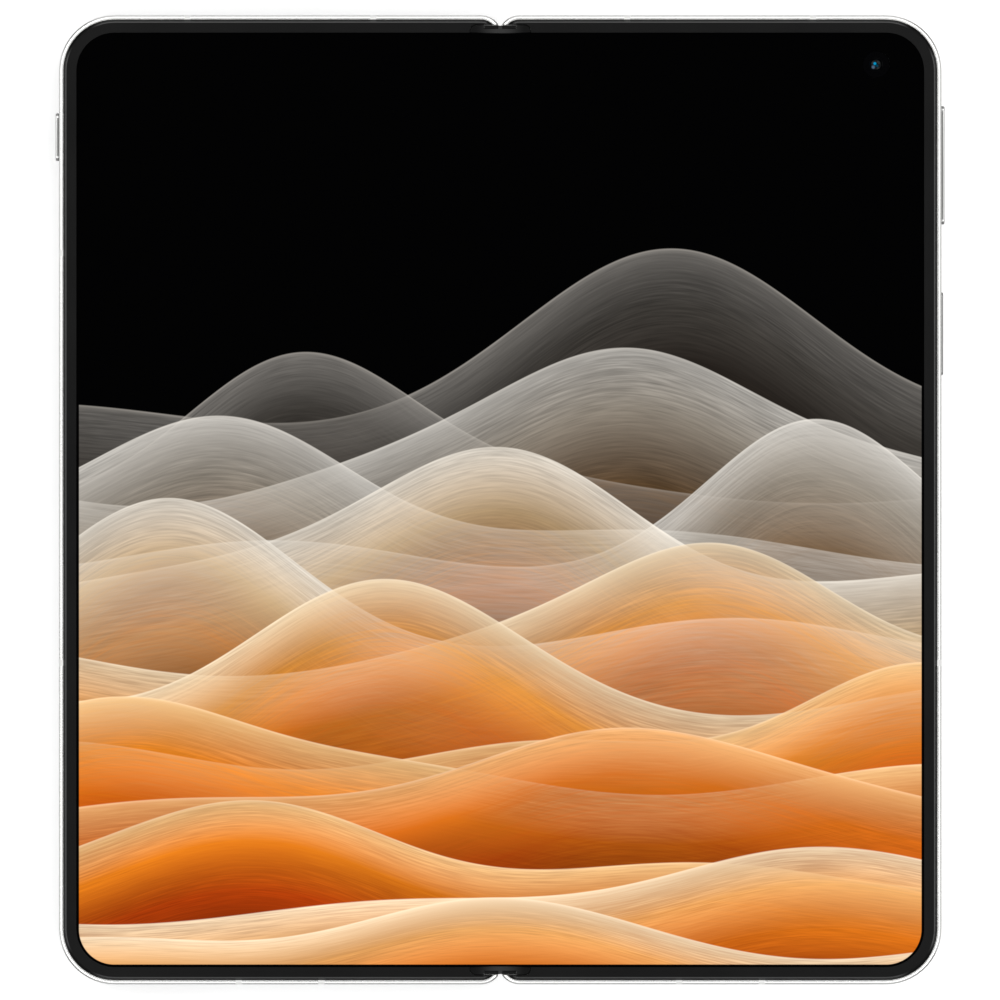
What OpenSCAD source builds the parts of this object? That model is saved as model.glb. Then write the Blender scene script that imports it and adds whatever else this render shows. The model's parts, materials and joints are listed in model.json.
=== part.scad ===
// Book-style foldable phone, unfolded, display up.
// The hinge line runs along Y at x = 0, and the camera island's glass lies at z = 0.
// Heights named *_z are measured from the back plane of the two halves.

/* [Halves] */
// Width of each half, from the hinge line to its side edge
half_w = 72.8; // [71:0.1:78]
// Length of the phone along its hinge
body_h = 159.9; // [158:0.1:170]
// Thickness of each half, back plane to bezel top
body_t = 4.2; // [4.15:0.05:4.6]
// Radius of the outer corners, seen from the front
corner_r = 9.2; // [8:0.1:12]
// Distance from the hinge line at which the edge starts to curve into the notch
notch_x = 3.18; // [2.9:0.02:3.4]
// Radius of the edge where it curves into the notch
notch_r = 3.5; // [3.3:0.05:3.6]
// Width of the frame's rails
rail_w = 2.2; // [2:0.05:2.6]
// Width of the bare metal ring round the bezel
ring_w = 0.72; // [0.6:0.02:0.9]
// Height that the metal ring lies below the bezel top
ring_drop = 0.15; // [0.05:0.01:0.3]
// Fillet on the front edge of the rails
front_fillet = 0.5; // [0.3:0.05:0.6]
// Fillet on the back edge of the rails
back_fillet = 0.9; // [0.5:0.05:1]
// Width of the metal border round the back glasses
back_border = 1.1; // [1.05:0.05:1.4]
// Thickness of the web that carries the display
web_t = 0.45; // [0.3:0.01:0.5]
// Width of an antenna band
band_w = 1.05; // [0.6:0.05:1.6]
// Depth of an antenna band in the rail
band_d = 1.0; // [0.8:0.05:1.1]

/* [Inner display] */
// Width of the visible bezel with its metal ring
bezel_w = 2.9; // [2.7:0.05:3.4]
// Width of the chamfer on the bezel's rim
bezel_chamfer = 0.55; // [0.3:0.05:0.6]
// Height of the bezel above the display
bezel_lip = 0.25; // [0.15:0.01:0.3]
// Width of display that the bezel covers
bezel_cover = 0.5; // [0.3:0.05:0.6]
// Thickness of the display stack
display_t = 0.75; // [0.6:0.01:0.8]
// Thickness of the plate below the display
plate_t = 0.15; // [0.1:0.01:0.2]
// Half width of the display stretch that bends
strip_x = 5; // [4.6:0.1:5.4]
// Gap between the bending stretch and each flat stretch
strip_gap = 0.02; // [0.01:0.01:0.05]
// Rows of slots in the lattice below the bending stretch
lattice_rows = 26; // [10:1:30]
// Width of a lattice slot
lattice_slot = 0.4; // [0.2:0.05:0.6]
// Distance of the inner camera from the side edge
inner_cam_x = 10.8; // [9:0.1:14]
// Distance of the inner camera from the top edge
inner_cam_y = 8.15; // [7:0.05:12]
// Radius of the inner camera's window
inner_cam_r = 2.2; // [1.6:0.05:2.4]

/* [Hinge] */
// Gap between the two bezels when folded
fold_gap = 0.5; // [0.4:0.02:0.6]
// Depth of the two fold axes below the bezel top
axis_drop = 0.7; // [0.66:0.01:0.72]
// Half of the slit between the two back lips
lip_x = 0.15; // [0.1:0.01:0.2]
// Half of the slit between the two rails
rail_x = 0.35; // [0.32:0.01:0.4]
// Thickness of the metal skin under the hinge
skin_t = 0.25; // [0.2:0.01:0.28]
// Width of the metal bead along each back lip
bead_w = 0.55; // [0.4:0.05:0.7]
// Running clearance round the spine
spine_gap = 0.1; // [0.06:0.01:0.12]
// Wall of the spine cover
spine_wall = 0.35; // [0.3:0.01:0.36]
// Thickness of each spine end cap
end_cap_t = 1.2; // [0.8:0.1:2]
// Outer end of the hinge bar in each half
bar_x = 9.2; // [9:0.1:10]
// Distance of the two hinge modules from the middle
module_y = 55; // [45:0.5:60]
// Pitch radius of the four timing gears
gear_pitch_r = 0.65; // [0.62:0.005:0.655]
// Teeth of each timing gear
gear_teeth = 10; // [10:2:12]
// Depth of the gear shafts below the fold axes
gear_drop = 1.3; // [1.28:0.01:1.32]
// Radius of the gear shafts
shaft_r = 0.25; // [0.2:0.01:0.27]
// Clearance of a turning bore round its shaft
bore_gap = 0.03; // [0.02:0.005:0.05]
// Side clearance of moving hinge parts
side_gap = 0.05; // [0.03:0.01:0.08]
// Width of the timing gears
gear_w = 1.4; // [1:0.05:2]
// Width of the timing arms' straps
strap_w = 1.2; // [0.8:0.05:1.6]
// Distance of the timing arms' pins from the hinge line
pin_x = 7; // [6.9:0.02:7.1]
// Radius of the timing arms' pins
pin_r = 0.25; // [0.2:0.01:0.28]
// Width of a slotted cheek beside each strap
cheek_w = 1; // [0.8:0.05:1.4]
// Width of the sliding shoes
shoe_w = 3; // [2.4:0.1:3.6]
// Thickness of the sliding shoes
shoe_t = 0.4; // [0.3:0.01:0.45]
// Length of the friction spring bays
spring_bay = 3; // [2:0.1:4]
// Thickness of the hinge base's walls
base_wall = 1; // [0.8:0.05:1.3]
// Radius of the friction springs
spring_r = 0.6; // [0.45:0.01:0.62]

/* [Keys] */
// Height of the keys
key_t = 1.6; // [1.3:0.05:1.8]
// Gap round each key
key_gap = 0.12; // [0.08:0.01:0.18]
// Length of the volume key
volume_len = 19.6; // [15:0.1:24]
// Distance of the volume key's middle from the top edge
volume_y = 24.65; // [22.5:0.05:28]
// Height of the volume key above the rail
volume_proud = 0.6; // [0.4:0.05:0.7]
// Length of the power key
power_len = 13.7; // [10:0.1:16]
// Distance of the power key's middle from the top edge
power_y = 52.5; // [48:0.1:56]
// Height of the power key above the rail
power_proud = 0.35; // [0.3:0.05:0.6]
// Length of the side key on the left half
side_len = 7.9; // [6:0.1:12]
// Distance of the side key's middle from the top edge
side_y = 20; // [18:0.1:24]
// Height of the side key above the rail
side_proud = 0.66; // [0.4:0.02:0.7]
// Travel of the power key and the side key
key_travel = 0.25; // [0.15:0.01:0.3]
// Width of the key flanges inside the rail
key_flange = 0.4; // [0.3:0.05:0.5]

/* [Cameras] */
// Thickness of the camera island
cam_proud = 3.2; // [2.4:0.1:4]
// Radius of the camera island
cam_r = 25; // [22:0.1:26]
// Distance of the camera island's middle from the top edge
cam_y = 33; // [31:0.1:36]
// Width of the island's metal rim
cam_rim = 1.6; // [1.2:0.05:2.4]
// Thickness of the island's glass
cam_glass_t = 0.7; // [0.5:0.05:1]
// Distance of the lenses from the island's axis
lens_pos = 12.6; // [12:0.1:13.2]
// Radius of each lens ring
lens_ring_r = 6.6; // [6:0.05:7]
// Width of each lens ring
lens_ring_w = 1.1; // [0.6:0.05:1.4]
// Depth of the lens rings below the glass face
lens_recess = 0.15; // [0.1:0.01:0.2]
// Radius of the flash window
flash_r = 2.6; // [2:0.05:3]
// Radius of the cover display's camera window
cover_cam_r = 1.9; // [1.4:0.05:2.2]
// Distance of the cover camera from the top edge
cover_cam_y = 6.9; // [6.6:0.05:8]

/* [Back] */
// Thickness of the back cover and the cover glass
back_t = 0.35; // [0.32:0.01:0.38]
// Gap between a glass and its metal border
glass_gap = 0.05; // [0.03:0.01:0.1]
// Thickness of the cover display's panel
cover_panel_t = 0.7; // [0.5:0.05:0.75]

/* [Inner pieces] */
// Gap between neighbouring inner pieces
inner_gap = 0.1; // [0.05:0.01:0.15]
// Length of the right half's battery
battery_right_h = 70; // [60:0.5:72]
// Length of the left half's battery
battery_left_h = 100; // [80:0.5:104]
// Width of the charging coil's winding
coil_w = 8; // [6:0.1:10]
// Outer radius of the charging coil
coil_r = 21; // [18:0.1:23]
// Thickness of the charging coil
coil_t = 0.2; // [0.15:0.01:0.25]
// Thickness of a circuit board
board_t = 0.8; // [0.6:0.05:0.9]
// Height of a shield can on a board
shield_t = 0.8; // [0.5:0.05:0.9]

/* [Port and tray] */
// Width of the charging port's mouth
port_w = 8.34; // [8.3:0.01:8.4]
// Height of the charging port's mouth
port_h = 2.56; // [2.5:0.01:2.6]
// Wall of the charging port
port_wall = 0.12; // [0.1:0.01:0.14]
// Depth of the charging port
port_d = 7.4; // [6.5:0.1:8]
// Width of the port's tongue
tongue_w = 6.69; // [6.6:0.01:6.8]
// Thickness of the port's tongue
tongue_t = 0.7; // [0.6:0.01:0.8]
// Width of the card tray's face
tray_w = 14; // [13.6:0.1:15]
// Height of the card tray's face
tray_h = 1.7; // [1.5:0.05:1.8]
// Length of the card tray
tray_d = 17.5; // [15:0.1:20]
// Distance of the tray's middle from the side edge
tray_x = 17.1; // [16.5:0.1:18]
// Width of the card that lies in the tray
card_w = 8.8; // [8.7:0.05:9]
// Length of the card that lies in the tray
card_h = 12.3; // [12.2:0.05:12.4]

/* [Hidden] */
$fn = 48;
cut = 1;

// Clearance of pieces that are pressed or glued in
fit_gap = 0.02;

// Reach of a polygon that cuts a sector out of a ring, in radii
fan = 3;

// Heights above the back plane
half_h = body_h / 2;
ring_z = body_t - ring_drop;
display_top = body_t - bezel_lip;
display_z = display_top - display_t;
plate_z = display_z - plate_t;
web_z = plate_z - web_t;
seat_lift = 0.05;
seat_z = display_z + seat_lift;
inside_z = back_t;
skin_z = inside_z + skin_t;

// Fold axes and spine
axis_z = body_t - axis_drop;
axis_x = fold_gap / 2 + axis_drop;
bay_r = axis_z - skin_z;
spine_r = bay_r - spine_gap;
spine_in_r = spine_r - spine_wall;
top_gap = 0.08;
spine_top = web_z - top_gap;
bay_h = half_h - rail_w;
spine_h = bay_h - spine_gap;
bar_in_x = axis_x + bay_r + inner_gap;
bay_mouth = 0.6 * bay_r;

// Timing gears; addendum and dedendum in modules, backlash in degrees
gear_z = axis_z - gear_drop;
arm_x = 3 * gear_pitch_r;
pressure_angle = 28;
addendum = 0.72;
dedendum = 1;
backlash = 0.7;
shaft_inset = 0.1;
hub_r = 0.75 * gear_pitch_r;
hub_overlap = 0.1;

// Pins of the timing arms, and the arc that their hubs follow about the fold axes
pin_lift = 0.1;
pin_z = gear_z + pin_lift;
pin_reach = 0.6 * cheek_w;
pin_wall = 1.3;
bracket_x = pin_x + pin_wall;
bracket_floor = 0.6;
orbit = [arm_x - axis_x, -gear_drop];
orbit_r = norm(orbit);
orbit_end = [orbit[1], -orbit[0]];

// Outline of the straps, measured from the hub and from the pin
strap_hub_r = 0.85 * gear_pitch_r;
strap_eye_r = 0.3;
strap_half = 0.24;
strap_back = 0.45;
strap_up = 0.3;
strap_rise = 0.2;
strap_reach = 2.35;
strap_run = 0.5;
strap_heel = 1.05;

// Friction springs
spring_folds = 6;
spring_dish = 0.15;

// Stations of a hinge module along Y, from its outer end
module_len = 2 * base_wall + gear_w + strap_w + 3 * side_gap + base_wall + spring_bay
    + 2 * base_wall + 2 * (shoe_w + 2 * side_gap);
st_gear = base_wall + side_gap;
st_strap = st_gear + gear_w + side_gap;
st_wall_b = st_strap + strap_w + side_gap;
st_spring = st_wall_b + base_wall;
st_wall_c = st_spring + spring_bay;
st_shoe_a = st_wall_c + base_wall;
st_wall_d = st_shoe_a + shoe_w + 2 * side_gap;
st_shoe_b = st_wall_d + base_wall;

// Camera island; the fillet and the bevel belong to its turned rims
cam_mid = [half_w / 2, half_h - cam_y];
lens_angles = [45, 135, 225];
flash_angle = 315;
rim_z = 0.35 * cam_glass_t;
rim_fillet = 0.8;
rim_seat = 1.4 * cam_rim;
lens_bore = lens_ring_r - lens_ring_w;
ring_lip = 0.3;
ring_bevel = 0.35;
ring_back = 0.6;
lens_drop = 0.4;
lens_t = 0.6;
lens_end = lens_recess + lens_drop + lens_t;
flash_t = 0.8;
flash_wall = 0.3;
flash_back = 0.2;

// Antenna bands: distances from the hinge line, or from the middle of the side
bands_top = [20.95, half_w - 21.2];
bands_bottom = [half_w / 2 - 6.9, half_w / 2 + 6.75];
side_band_low = -26.9;
side_band_high = 40.7;

// Port, and the card tray with its reader
port_x = half_w / 2;
port_z = display_z - port_wall - port_h / 2 - fit_gap;
port_back = 0.8;
port_clear = 0.3;
tongue_in = 1.1;
end_inset = 0.05;
tray_mid = half_w - tray_x;
rail_mid_z = (inside_z + web_z) / 2;
tray_up = 0.35;
tray_z = rail_mid_z + tray_up;
tray_plate_t = 0.9;
tray_plate_w = tray_w - tray_h;
tray_face_t = 1.2;
tray_floor = 0.2;
card_from = 3;
eject_r = 0.35;
eject_in = 0.4;
eject_d = 3;
slide_gap = 0.1;
reader_side = 0.5;
reader_skin = 0.25;

// Grilles of the loudspeaker and the earpiece, and the microphone's hole
hole_up = 0.4;
hole_z = rail_mid_z + hole_up;
hole_r = 0.55;
hole_pitch = 2.2;
speaker_holes = 6;
speaker_off = 17;
speaker_mid = port_x + speaker_off;
earpiece_holes = 7;
mic_off = 13;
mic_x = port_x - mic_off;

// Keys: their middle height, the wall outside their flanges, and their domes and carriers
key_z = 1.95;
key_wall = 1.0;
key_in_x = half_w - rail_w + key_travel;
key_overlap = 0.1;
flange_gap = 0.3;
nub_r = 0.3;
dome_gap = 0.05;
dome_share = 0.3;
switch_x = key_in_x - key_travel - dome_gap;
carrier_t = 0.6;
dome_t = 0.4;
dome_r = 0.6;
carrier_x = switch_x - dome_t - carrier_t;
carrier_w = 4;
carrier_h = 2 * (web_z - key_z);

// Bezel rim, soft bridge and notch tabs
rim_depth = 0.35;
bridge_rim = 0.88;
bridge_in = ring_w + bridge_rim;
bridge_r = 1;
bridge_drop = 0.05;
overlap = 0.01;
tab_gap = 0.06;
tab_x = 0.2;
tab_len = 2.4;
tab_w = 0.46;

// Display sheets and the lattice below the fold
sheet_gap = 0.03;
fold_half = half_h - bezel_w + bezel_cover - sheet_gap;
slot_x = 2.4;
slot_share = 0.7;
inner_cam_mid = [half_w - inner_cam_x, half_h - inner_cam_y];
inner_cam_depth = 1.6;

// Room for the inner pieces between the hinge bar and the rails
bar_space = 2.4;
inner_x0 = bar_x + bar_space;
inner_x1 = carrier_x - inner_gap;
inner_y1 = half_h - rail_w - inner_gap;

// Windows in the web
window_off = 1.4;
window_x = bar_x + window_off;
window_y = 20;
window_w = 1.6;
window_h = 3;

// Batteries, boards, cameras' neighbours and the two loudspeakers
lower_bay = 24;
battery_right_y = rail_w + lower_bay + battery_right_h / 2 - half_h;
cover_panel_in = rail_w + inner_gap;
upper_z = inside_z + cover_panel_t + inner_gap;
earpiece_w = 15.2;
speaker_w = 17.5;
speaker_h = 19;
speaker_t = 2;
haptic_w = 11;
haptic_h = 16;
haptic_t = 1.9;
piece_gap = 1;
speaker_in = 3.7;
board_gap = 0.5;
key_space = 3.6;
shield_in = 4;
shield_w = 20;
shield_h = 7;
shield_margin = 1;
chip_w = 22;
chip_h = 8;
chip_x = 2;
chip_y = 1.5;
earpiece_d = cover_cam_y - cover_cam_r - rail_w - 2 * inner_gap;

// Ribbon cable with its two plugs
flex_w = 12;
flex_t = 0.12;
flex_lift = 0.1;
flex_tail = 2;
flex_room = 0.6;
plug_w = 1.6;
plug_t = 0.5;
plug_drop = 0.4;
plug_in = 1;

// Sliding shoes, their reach in degrees, their arms and their screws
shoe_out_r = spine_in_r - side_gap;
shoe_in_r = shoe_out_r - shoe_t;
shoe_angle_from = -60;
shoe_angle_to = 76;
screw_r = 0.45;
screw_head_r = 0.9;
screw_len = 1.2;
screw_sink = 0.25;
screw_head_t = 0.2;
screw_at = [1.2, 3.2];
arm_root = 0.2;
arm_gap = 0.05;
bay_floor = 0.15;

// Plate over the middle of the spine
center_end_gap = 0.6;
center_side_gap = 0.15;
center_t = 0.25;
leg_x = 0.7;
leg_t = 0.4;

// ---------------------------------------------------------------- helpers

// Extrudes an XZ outline from y0 to y1
module along_y(y0, y1) {
    translate([0, y1, 0]) rotate([90, 0, 0]) linear_extrude(y1 - y0) children();
}

// Extrudes a YZ outline from x0 to x1
module along_x(x0, x1) {
    translate([x0, 0, 0]) rotate([90, 0, 90]) linear_extrude(x1 - x0) children();
}

// Lifts a half's own heights onto the back plane
module lifted() {
    translate([0, 0, cam_proud]) children();
}

// Places a right-hand shape on the left half
module left_side() {
    mirror([1, 0, 0]) children();
}

// Slot outline of length len and height h, centred
module slot_2d(len, h) {
    square([len - h, h], center = true);
    for (side = [-1, 1]) translate([side * (len - h) / 2, 0]) circle(h / 2);
}

// Plan of the right half, drawn in by inset, from x0 outwards
module half_plan(inset, x0) {
    r = corner_r - inset;
    for (y = [-1, 1]) translate([half_w - corner_r, y * (half_h - corner_r)]) circle(r);
    translate([x0, corner_r - half_h]) square([half_w - inset - x0, body_h - 2 * corner_r]);
    translate([x0, inset - half_h]) square([half_w - corner_r - x0, body_h - 2 * inset]);
}

// The corners that the notch takes off a plan drawn in by inset
module notch_corners(inset) {
    for (y = [0, 1]) mirror([0, y]) difference() {
        translate([-cut, half_h - notch_r]) square([notch_x + cut, notch_r + cut]);
        translate([notch_x, half_h - notch_r]) circle(notch_r - inset);
    }
}

// Sweeps a profile round the right half; its x is the inset and its y the height
module sweep_edge() {
    for (y = [0, 1]) mirror([0, y, 0]) {
        translate([half_w - corner_r, half_h - corner_r, 0])
            rotate_extrude(angle = 90) inset_from(corner_r) children();
        translate([notch_x, half_h - notch_r, 0]) rotate([0, 0, 90])
            rotate_extrude(angle = 90) inset_from(notch_r) children();
        translate([notch_x, half_h, 0]) rotate([90, 0, 90])
            linear_extrude(half_w - corner_r - notch_x) mirror([1, 0]) children();
    }
    translate([half_w, half_h - corner_r, 0]) rotate([90, 0, 0])
        linear_extrude(body_h - 2 * corner_r) mirror([1, 0]) children();
}

// Turns an inset into a radius of a turning
module inset_from(r) {
    translate([r, 0]) mirror([1, 0]) children();
}

// ---------------------------------------------------------------- frames

// Cross-section of a rail: ring, bezel seat, glass rebate and both fillets
module rail_profile() {
    difference() {
        union() {
            square([ring_w, ring_z]);
            square([back_border, seat_z]);
            translate([0, inside_z]) square([rail_w, seat_z - inside_z]);
        }
        rounded_off(0, back_fillet, false);
        rounded_off(ring_z, front_fillet, true);
    }
}

// What rounds the outer side of a rail with radius r, at its top z or its bottom z
module rounded_off(z, r, top) {
    difference() {
        translate([-cut, top ? z - r : z - cut]) square([r + cut, r + cut]);
        translate([r, top ? z - r : z + r]) circle(r);
    }
}

// Boxes over every antenna band of a half
module band_boxes(high) {
    for (x = bands_top) translate([x - band_w / 2, half_h - band_d, -cut])
        cube([band_w, band_d + cut, body_t + 2 * cut]);
    for (x = bands_bottom) translate([x - band_w / 2, -half_h - cut, -cut])
        cube([band_w, band_d + cut, body_t + 2 * cut]);
    for (y = high ? [side_band_low, side_band_high] : [side_band_low])
        translate([half_w - band_d, y - band_w / 2, -cut])
            cube([band_d + cut, band_w, body_t + 2 * cut]);
}

// Cross-section of the hinge bar with its lip, bead and hollow for the spine
module bar_profile() {
    translate([lip_x, 0]) square([bead_w, skin_z]);
    translate([lip_x, inside_z]) square([bar_x - lip_x, skin_t]);
    difference() {
        translate([axis_x, inside_z]) square([bar_x - axis_x, plate_z - inside_z]);
        translate([axis_x, axis_z]) circle(bay_r);
        translate([0, skin_z]) square([axis_x + bay_mouth, plate_z]);
        translate([0, web_z]) square([bar_in_x, web_t + cut]);
    }
}

// Runs its children at both hinge modules, measured from the module's outer end
module at_modules() {
    for (y = [0, 1]) mirror([0, y, 0]) translate([0, module_y + module_len / 2, 0])
        mirror([0, 1, 0]) children();
}

// Bare half frame: rails, web and hinge bar
module half_frame() {
    difference() {
        sweep_edge() rail_profile();
        translate([-cut, -bay_h, -cut]) cube([bar_in_x + cut, 2 * bay_h, body_t + 2 * cut]);
        translate([-body_h, -body_h, -cut]) cube([body_h + rail_x, 2 * body_h, body_t + 2 * cut]);
    }
    difference() {
        translate([0, 0, web_z]) linear_extrude(web_t) half_plan(rail_w - cut / 2, bar_x - cut);
        web_windows();
    }
    along_y(-bay_h, bay_h) bar_profile();
}

// Openings in the web that save weight and let cables pass
module web_windows() {
    for (side = [-1, 1]) translate([window_x, side * window_y - window_h / 2, web_z - cut])
        cube([window_w, window_h, web_t + 2 * cut]);
}

// Everything that both frames leave out for the hinge
module hinge_pockets() {
    at_modules() {
        translate([axis_x, st_strap - side_gap - cheek_w, skin_z])
            cube([bracket_x - axis_x, strap_w + 2 * side_gap + 2 * cheek_w, body_t]);
        for (station = [st_shoe_a, st_shoe_b])
            translate([axis_x, station + side_gap, web_z])
                cube([bracket_x - axis_x, shoe_w, body_t]);
    }
    translate([axis_x, -flex_w / 2 - inner_gap, web_z])
        cube([bar_x + flex_tail + flex_room - axis_x, flex_w + 2 * inner_gap, body_t]);
}

// Room over the rails for the soft bridge and the notch tabs
module bridge_room() {
    for (y = [0, 1]) mirror([0, y, 0]) translate([0, 0, seat_z])
        linear_extrude(body_t) bridge_plan(tab_gap);
}

// Holes in the hinge bar for the swing arms' screws
module screw_holes(station) {
    at_modules() screw_stations(station) translate([0, 0, web_z - screw_len])
        cylinder(r = screw_r + fit_gap, h = screw_len + cut);
}

// Row of round holes round x = mid, through the bottom or top rail
module grille(mid, count, top) {
    for (i = [0 : count - 1])
        translate([mid + (i - (count - 1) / 2) * hole_pitch, 0, hole_z])
            translate([0, top ? half_h - rail_w - cut : -half_h - cut, 0])
                rotate([-90, 0, 0]) cylinder(r = hole_r, h = rail_w + 2 * cut);
}

// Opening for a key in the side rail
module key_slot(mid_y, len) {
    along_x(half_w - rail_w - cut, half_w + cut) translate([mid_y, key_z])
        slot_2d(len + 2 * key_gap, key_t + 2 * key_gap);
    translate([half_w - rail_w - cut, mid_y - len / 2 - key_flange - key_gap, key_z - key_t / 2 - key_gap])
        cube([rail_w + cut - key_wall, len + 2 * key_flange + 2 * key_gap, key_t + 2 * key_gap]);
}

module frame_right() {
    color("whitesmoke") lifted() difference() {
        half_frame();
        band_boxes(false);
        hinge_pockets();
        bridge_room();
        screw_holes(st_shoe_a);
        key_slot(half_h - volume_y, volume_len);
        key_slot(half_h - power_y, power_len);
        along_y(-half_h - cut, cut - half_h + rail_w) translate([port_x, port_z])
            slot_2d(port_w + 2 * port_wall, port_h + 2 * port_wall);
        translate([port_x - port_w / 2 - cut, -half_h + rail_w - cut / 2, web_z - cut])
            cube([port_w + 2 * cut, port_d, web_t + 2 * cut]);
        grille(speaker_mid, speaker_holes, false);
        grille(mic_x, 1, false);
        grille(port_x, 1, true);
        translate([cam_mid[0], cam_mid[1], web_z - cut]) module_holes();
        inner_camera_hole();
    }
}

module frame_left() {
    color("whitesmoke") lifted() left_side() difference() {
        half_frame();
        band_boxes(true);
        hinge_pockets();
        bridge_room();
        screw_holes(st_shoe_b);
        key_slot(half_h - side_y, side_len);
        along_y(-half_h - cut, cut - half_h + rail_w) translate([tray_mid, tray_z])
            slot_2d(tray_w + 2 * key_gap, tray_h + 2 * key_gap);
        grille(port_x, earpiece_holes, true);
        grille(port_x, 1, false);
    }
}

// Cross-section of an antenna band, flush with the rail
module band_profile() {
    intersection() {
        rail_profile();
        square([band_d, body_t]);
    }
}

// All bands of a half; the left half has one more, high on its side
module bands(high) {
    color("gainsboro") lifted() {
        for (x = bands_top) translate([x - band_w / 2, half_h, 0]) rotate([90, 0, 90])
            linear_extrude(band_w) mirror([1, 0]) band_profile();
        for (x = bands_bottom) translate([x + band_w / 2, -half_h, 0]) rotate([90, 0, -90])
            linear_extrude(band_w) mirror([1, 0]) band_profile();
        for (y = high ? [side_band_low, side_band_high] : [side_band_low])
            translate([half_w, y + band_w / 2, 0]) rotate([90, 0, 0])
                linear_extrude(band_w) mirror([1, 0]) band_profile();
    }
}

module antenna_bands_right() bands(false);

module antenna_bands_left() left_side() bands(true);

// ---------------------------------------------------------------- inner display

// Cross-section of the bezel: chamfered rim, seat and thin lip over the display
module bezel_profile() {
    polygon([
        [ring_w, seat_z],
        [bezel_w - bezel_cover, seat_z],
        [bezel_w - bezel_cover, display_top],
        [bezel_w, display_top],
        [bezel_w, body_t],
        [ring_w + bezel_chamfer, body_t],
        [ring_w, ring_z - rim_depth]
    ]);
}

// Plan of the recess that the soft bridge fills, one half of it
module bridge_plan(grow) {
    translate([-cut, half_h - bezel_w - grow])
        square([strip_x + cut - strip_gap + grow, bezel_w - bridge_in - bridge_r + grow]);
    translate([-cut, half_h - bridge_in - bridge_r])
        square([strip_x + cut - bridge_r, bridge_r + grow]);
    translate([strip_x - bridge_r - strip_gap, half_h - bridge_in - bridge_r])
        circle(bridge_r + grow);
}

// Plan of a notch tab
module tab_plan(grow) {
    translate([tab_x - grow, half_h - rail_w + fit_gap - grow])
        square([tab_len + 2 * grow, tab_w + 2 * grow]);
}

// Right half of the bezel, open for the soft bridge and the fold
module bezel_half() {
    color("#1d1d1d") lifted() {
        difference() {
            sweep_edge() bezel_profile();
            for (y = [0, 1]) mirror([0, y, 0]) translate([0, 0, seat_z - cut])
                linear_extrude(body_t) bridge_plan(tab_gap);
            translate([-cut, bezel_w - half_h - tab_gap, seat_z - cut])
                cube([strip_x + cut, body_h - 2 * bezel_w + 2 * tab_gap, body_t]);
            translate([-body_h, -body_h, -cut])
                cube([body_h + rail_x, 2 * body_h, body_t + 2 * cut]);
        }
        for (y = [0, 1]) mirror([0, y, 0]) translate([0, 0, seat_z])
            linear_extrude(display_top - seat_z) tab_plan(0);
    }
}

module bezel_right() bezel_half();

module bezel_left() left_side() bezel_half();

// Flat sheet of a half, t thick
module display_sheet(t, clearance) {
    linear_extrude(t) half_plan(bezel_w - bezel_cover + clearance, strip_x + strip_gap);
}

// Bore for the inner camera through the web, the plate and the display
module inner_camera_hole() {
    translate([inner_cam_mid[0], inner_cam_mid[1], web_z - cut])
        cylinder(r = inner_cam_r + glass_gap, h = web_t + plate_t + display_t + 2 * cut);
}

module display_right() {
    color("#050505") lifted() difference() {
        translate([0, 0, display_z]) display_sheet(display_t, sheet_gap);
        inner_camera_hole();
    }
}

module display_left() {
    color("#050505") lifted() left_side() translate([0, 0, display_z])
        display_sheet(display_t, sheet_gap);
}

module support_plate_right() {
    color("silver") lifted() difference() {
        translate([0, 0, plate_z]) display_sheet(plate_t, sheet_gap);
        inner_camera_hole();
        translate([port_x - port_w / 2 - port_clear, -half_h, plate_z - cut])
            cube([port_w + 2 * port_clear, rail_w + port_d, plate_t + 2 * cut]);
    }
}

module support_plate_left() {
    color("silver") lifted() left_side() translate([0, 0, plate_z])
        display_sheet(plate_t, sheet_gap);
}

module fold_strip() {
    color("#0a0a0a") lifted() translate([-strip_x, -fold_half, display_z])
        cube([2 * strip_x, 2 * fold_half, display_t]);
}

// Plate below the bending stretch, opened by staggered rows of slots
module fold_lattice() {
    row = 2 * fold_half / (lattice_rows + 1);
    color("silver") lifted() translate([0, 0, plate_z]) linear_extrude(plate_t) difference() {
        translate([-strip_x, -fold_half]) square([2 * strip_x, 2 * fold_half]);
        for (i = [1 : lattice_rows], side = [-1, 0, 1])
            translate([side * slot_x, -fold_half + i * row + (side == 0 ? row / 2 : 0)])
                square([lattice_slot, row * slot_share], center = true);
    }
}

// Soft bridges between the two bezels, over both ends of the fold
module bezel_bridge() {
    color("#2c2c2c") lifted() for (y = [0, 1]) mirror([0, y, 0]) difference() {
        for (x = [0, 1]) mirror([x, 0, 0]) intersection() {
            translate([0, 0, seat_z]) linear_extrude(body_t - seat_z - bridge_drop) bridge_plan(0);
            translate([-overlap, 0, 0]) cube([strip_x, half_h, body_t]);
        }
        translate([-strip_x - cut, 0, seat_z - cut])
            cube([2 * strip_x + 2 * cut, half_h - bezel_w + bezel_cover, display_top - seat_z + cut]);
        for (x = [0, 1]) mirror([x, 0, 0]) translate([0, 0, seat_z - cut])
            linear_extrude(body_t) tab_plan(tab_gap);
    }
}

// Glass and barrel of the camera behind the inner display
module inner_camera() {
    color("#101418") lifted()
        translate([inner_cam_mid[0], inner_cam_mid[1], plate_z - inner_cam_depth])
            cylinder(r = inner_cam_r, h = display_top - plate_z + inner_cam_depth);
}

// ---------------------------------------------------------------- back of the right half

// Plan of the glass on a half's back
module back_plan() {
    difference() {
        half_plan(back_border + glass_gap, lip_x + bead_w + glass_gap);
        notch_corners(back_border + glass_gap);
    }
}

module back_cover() {
    color("white") lifted() linear_extrude(back_t) difference() {
        back_plan();
        translate(cam_mid) circle(cam_r - cam_rim + glass_gap);
    }
}

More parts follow.
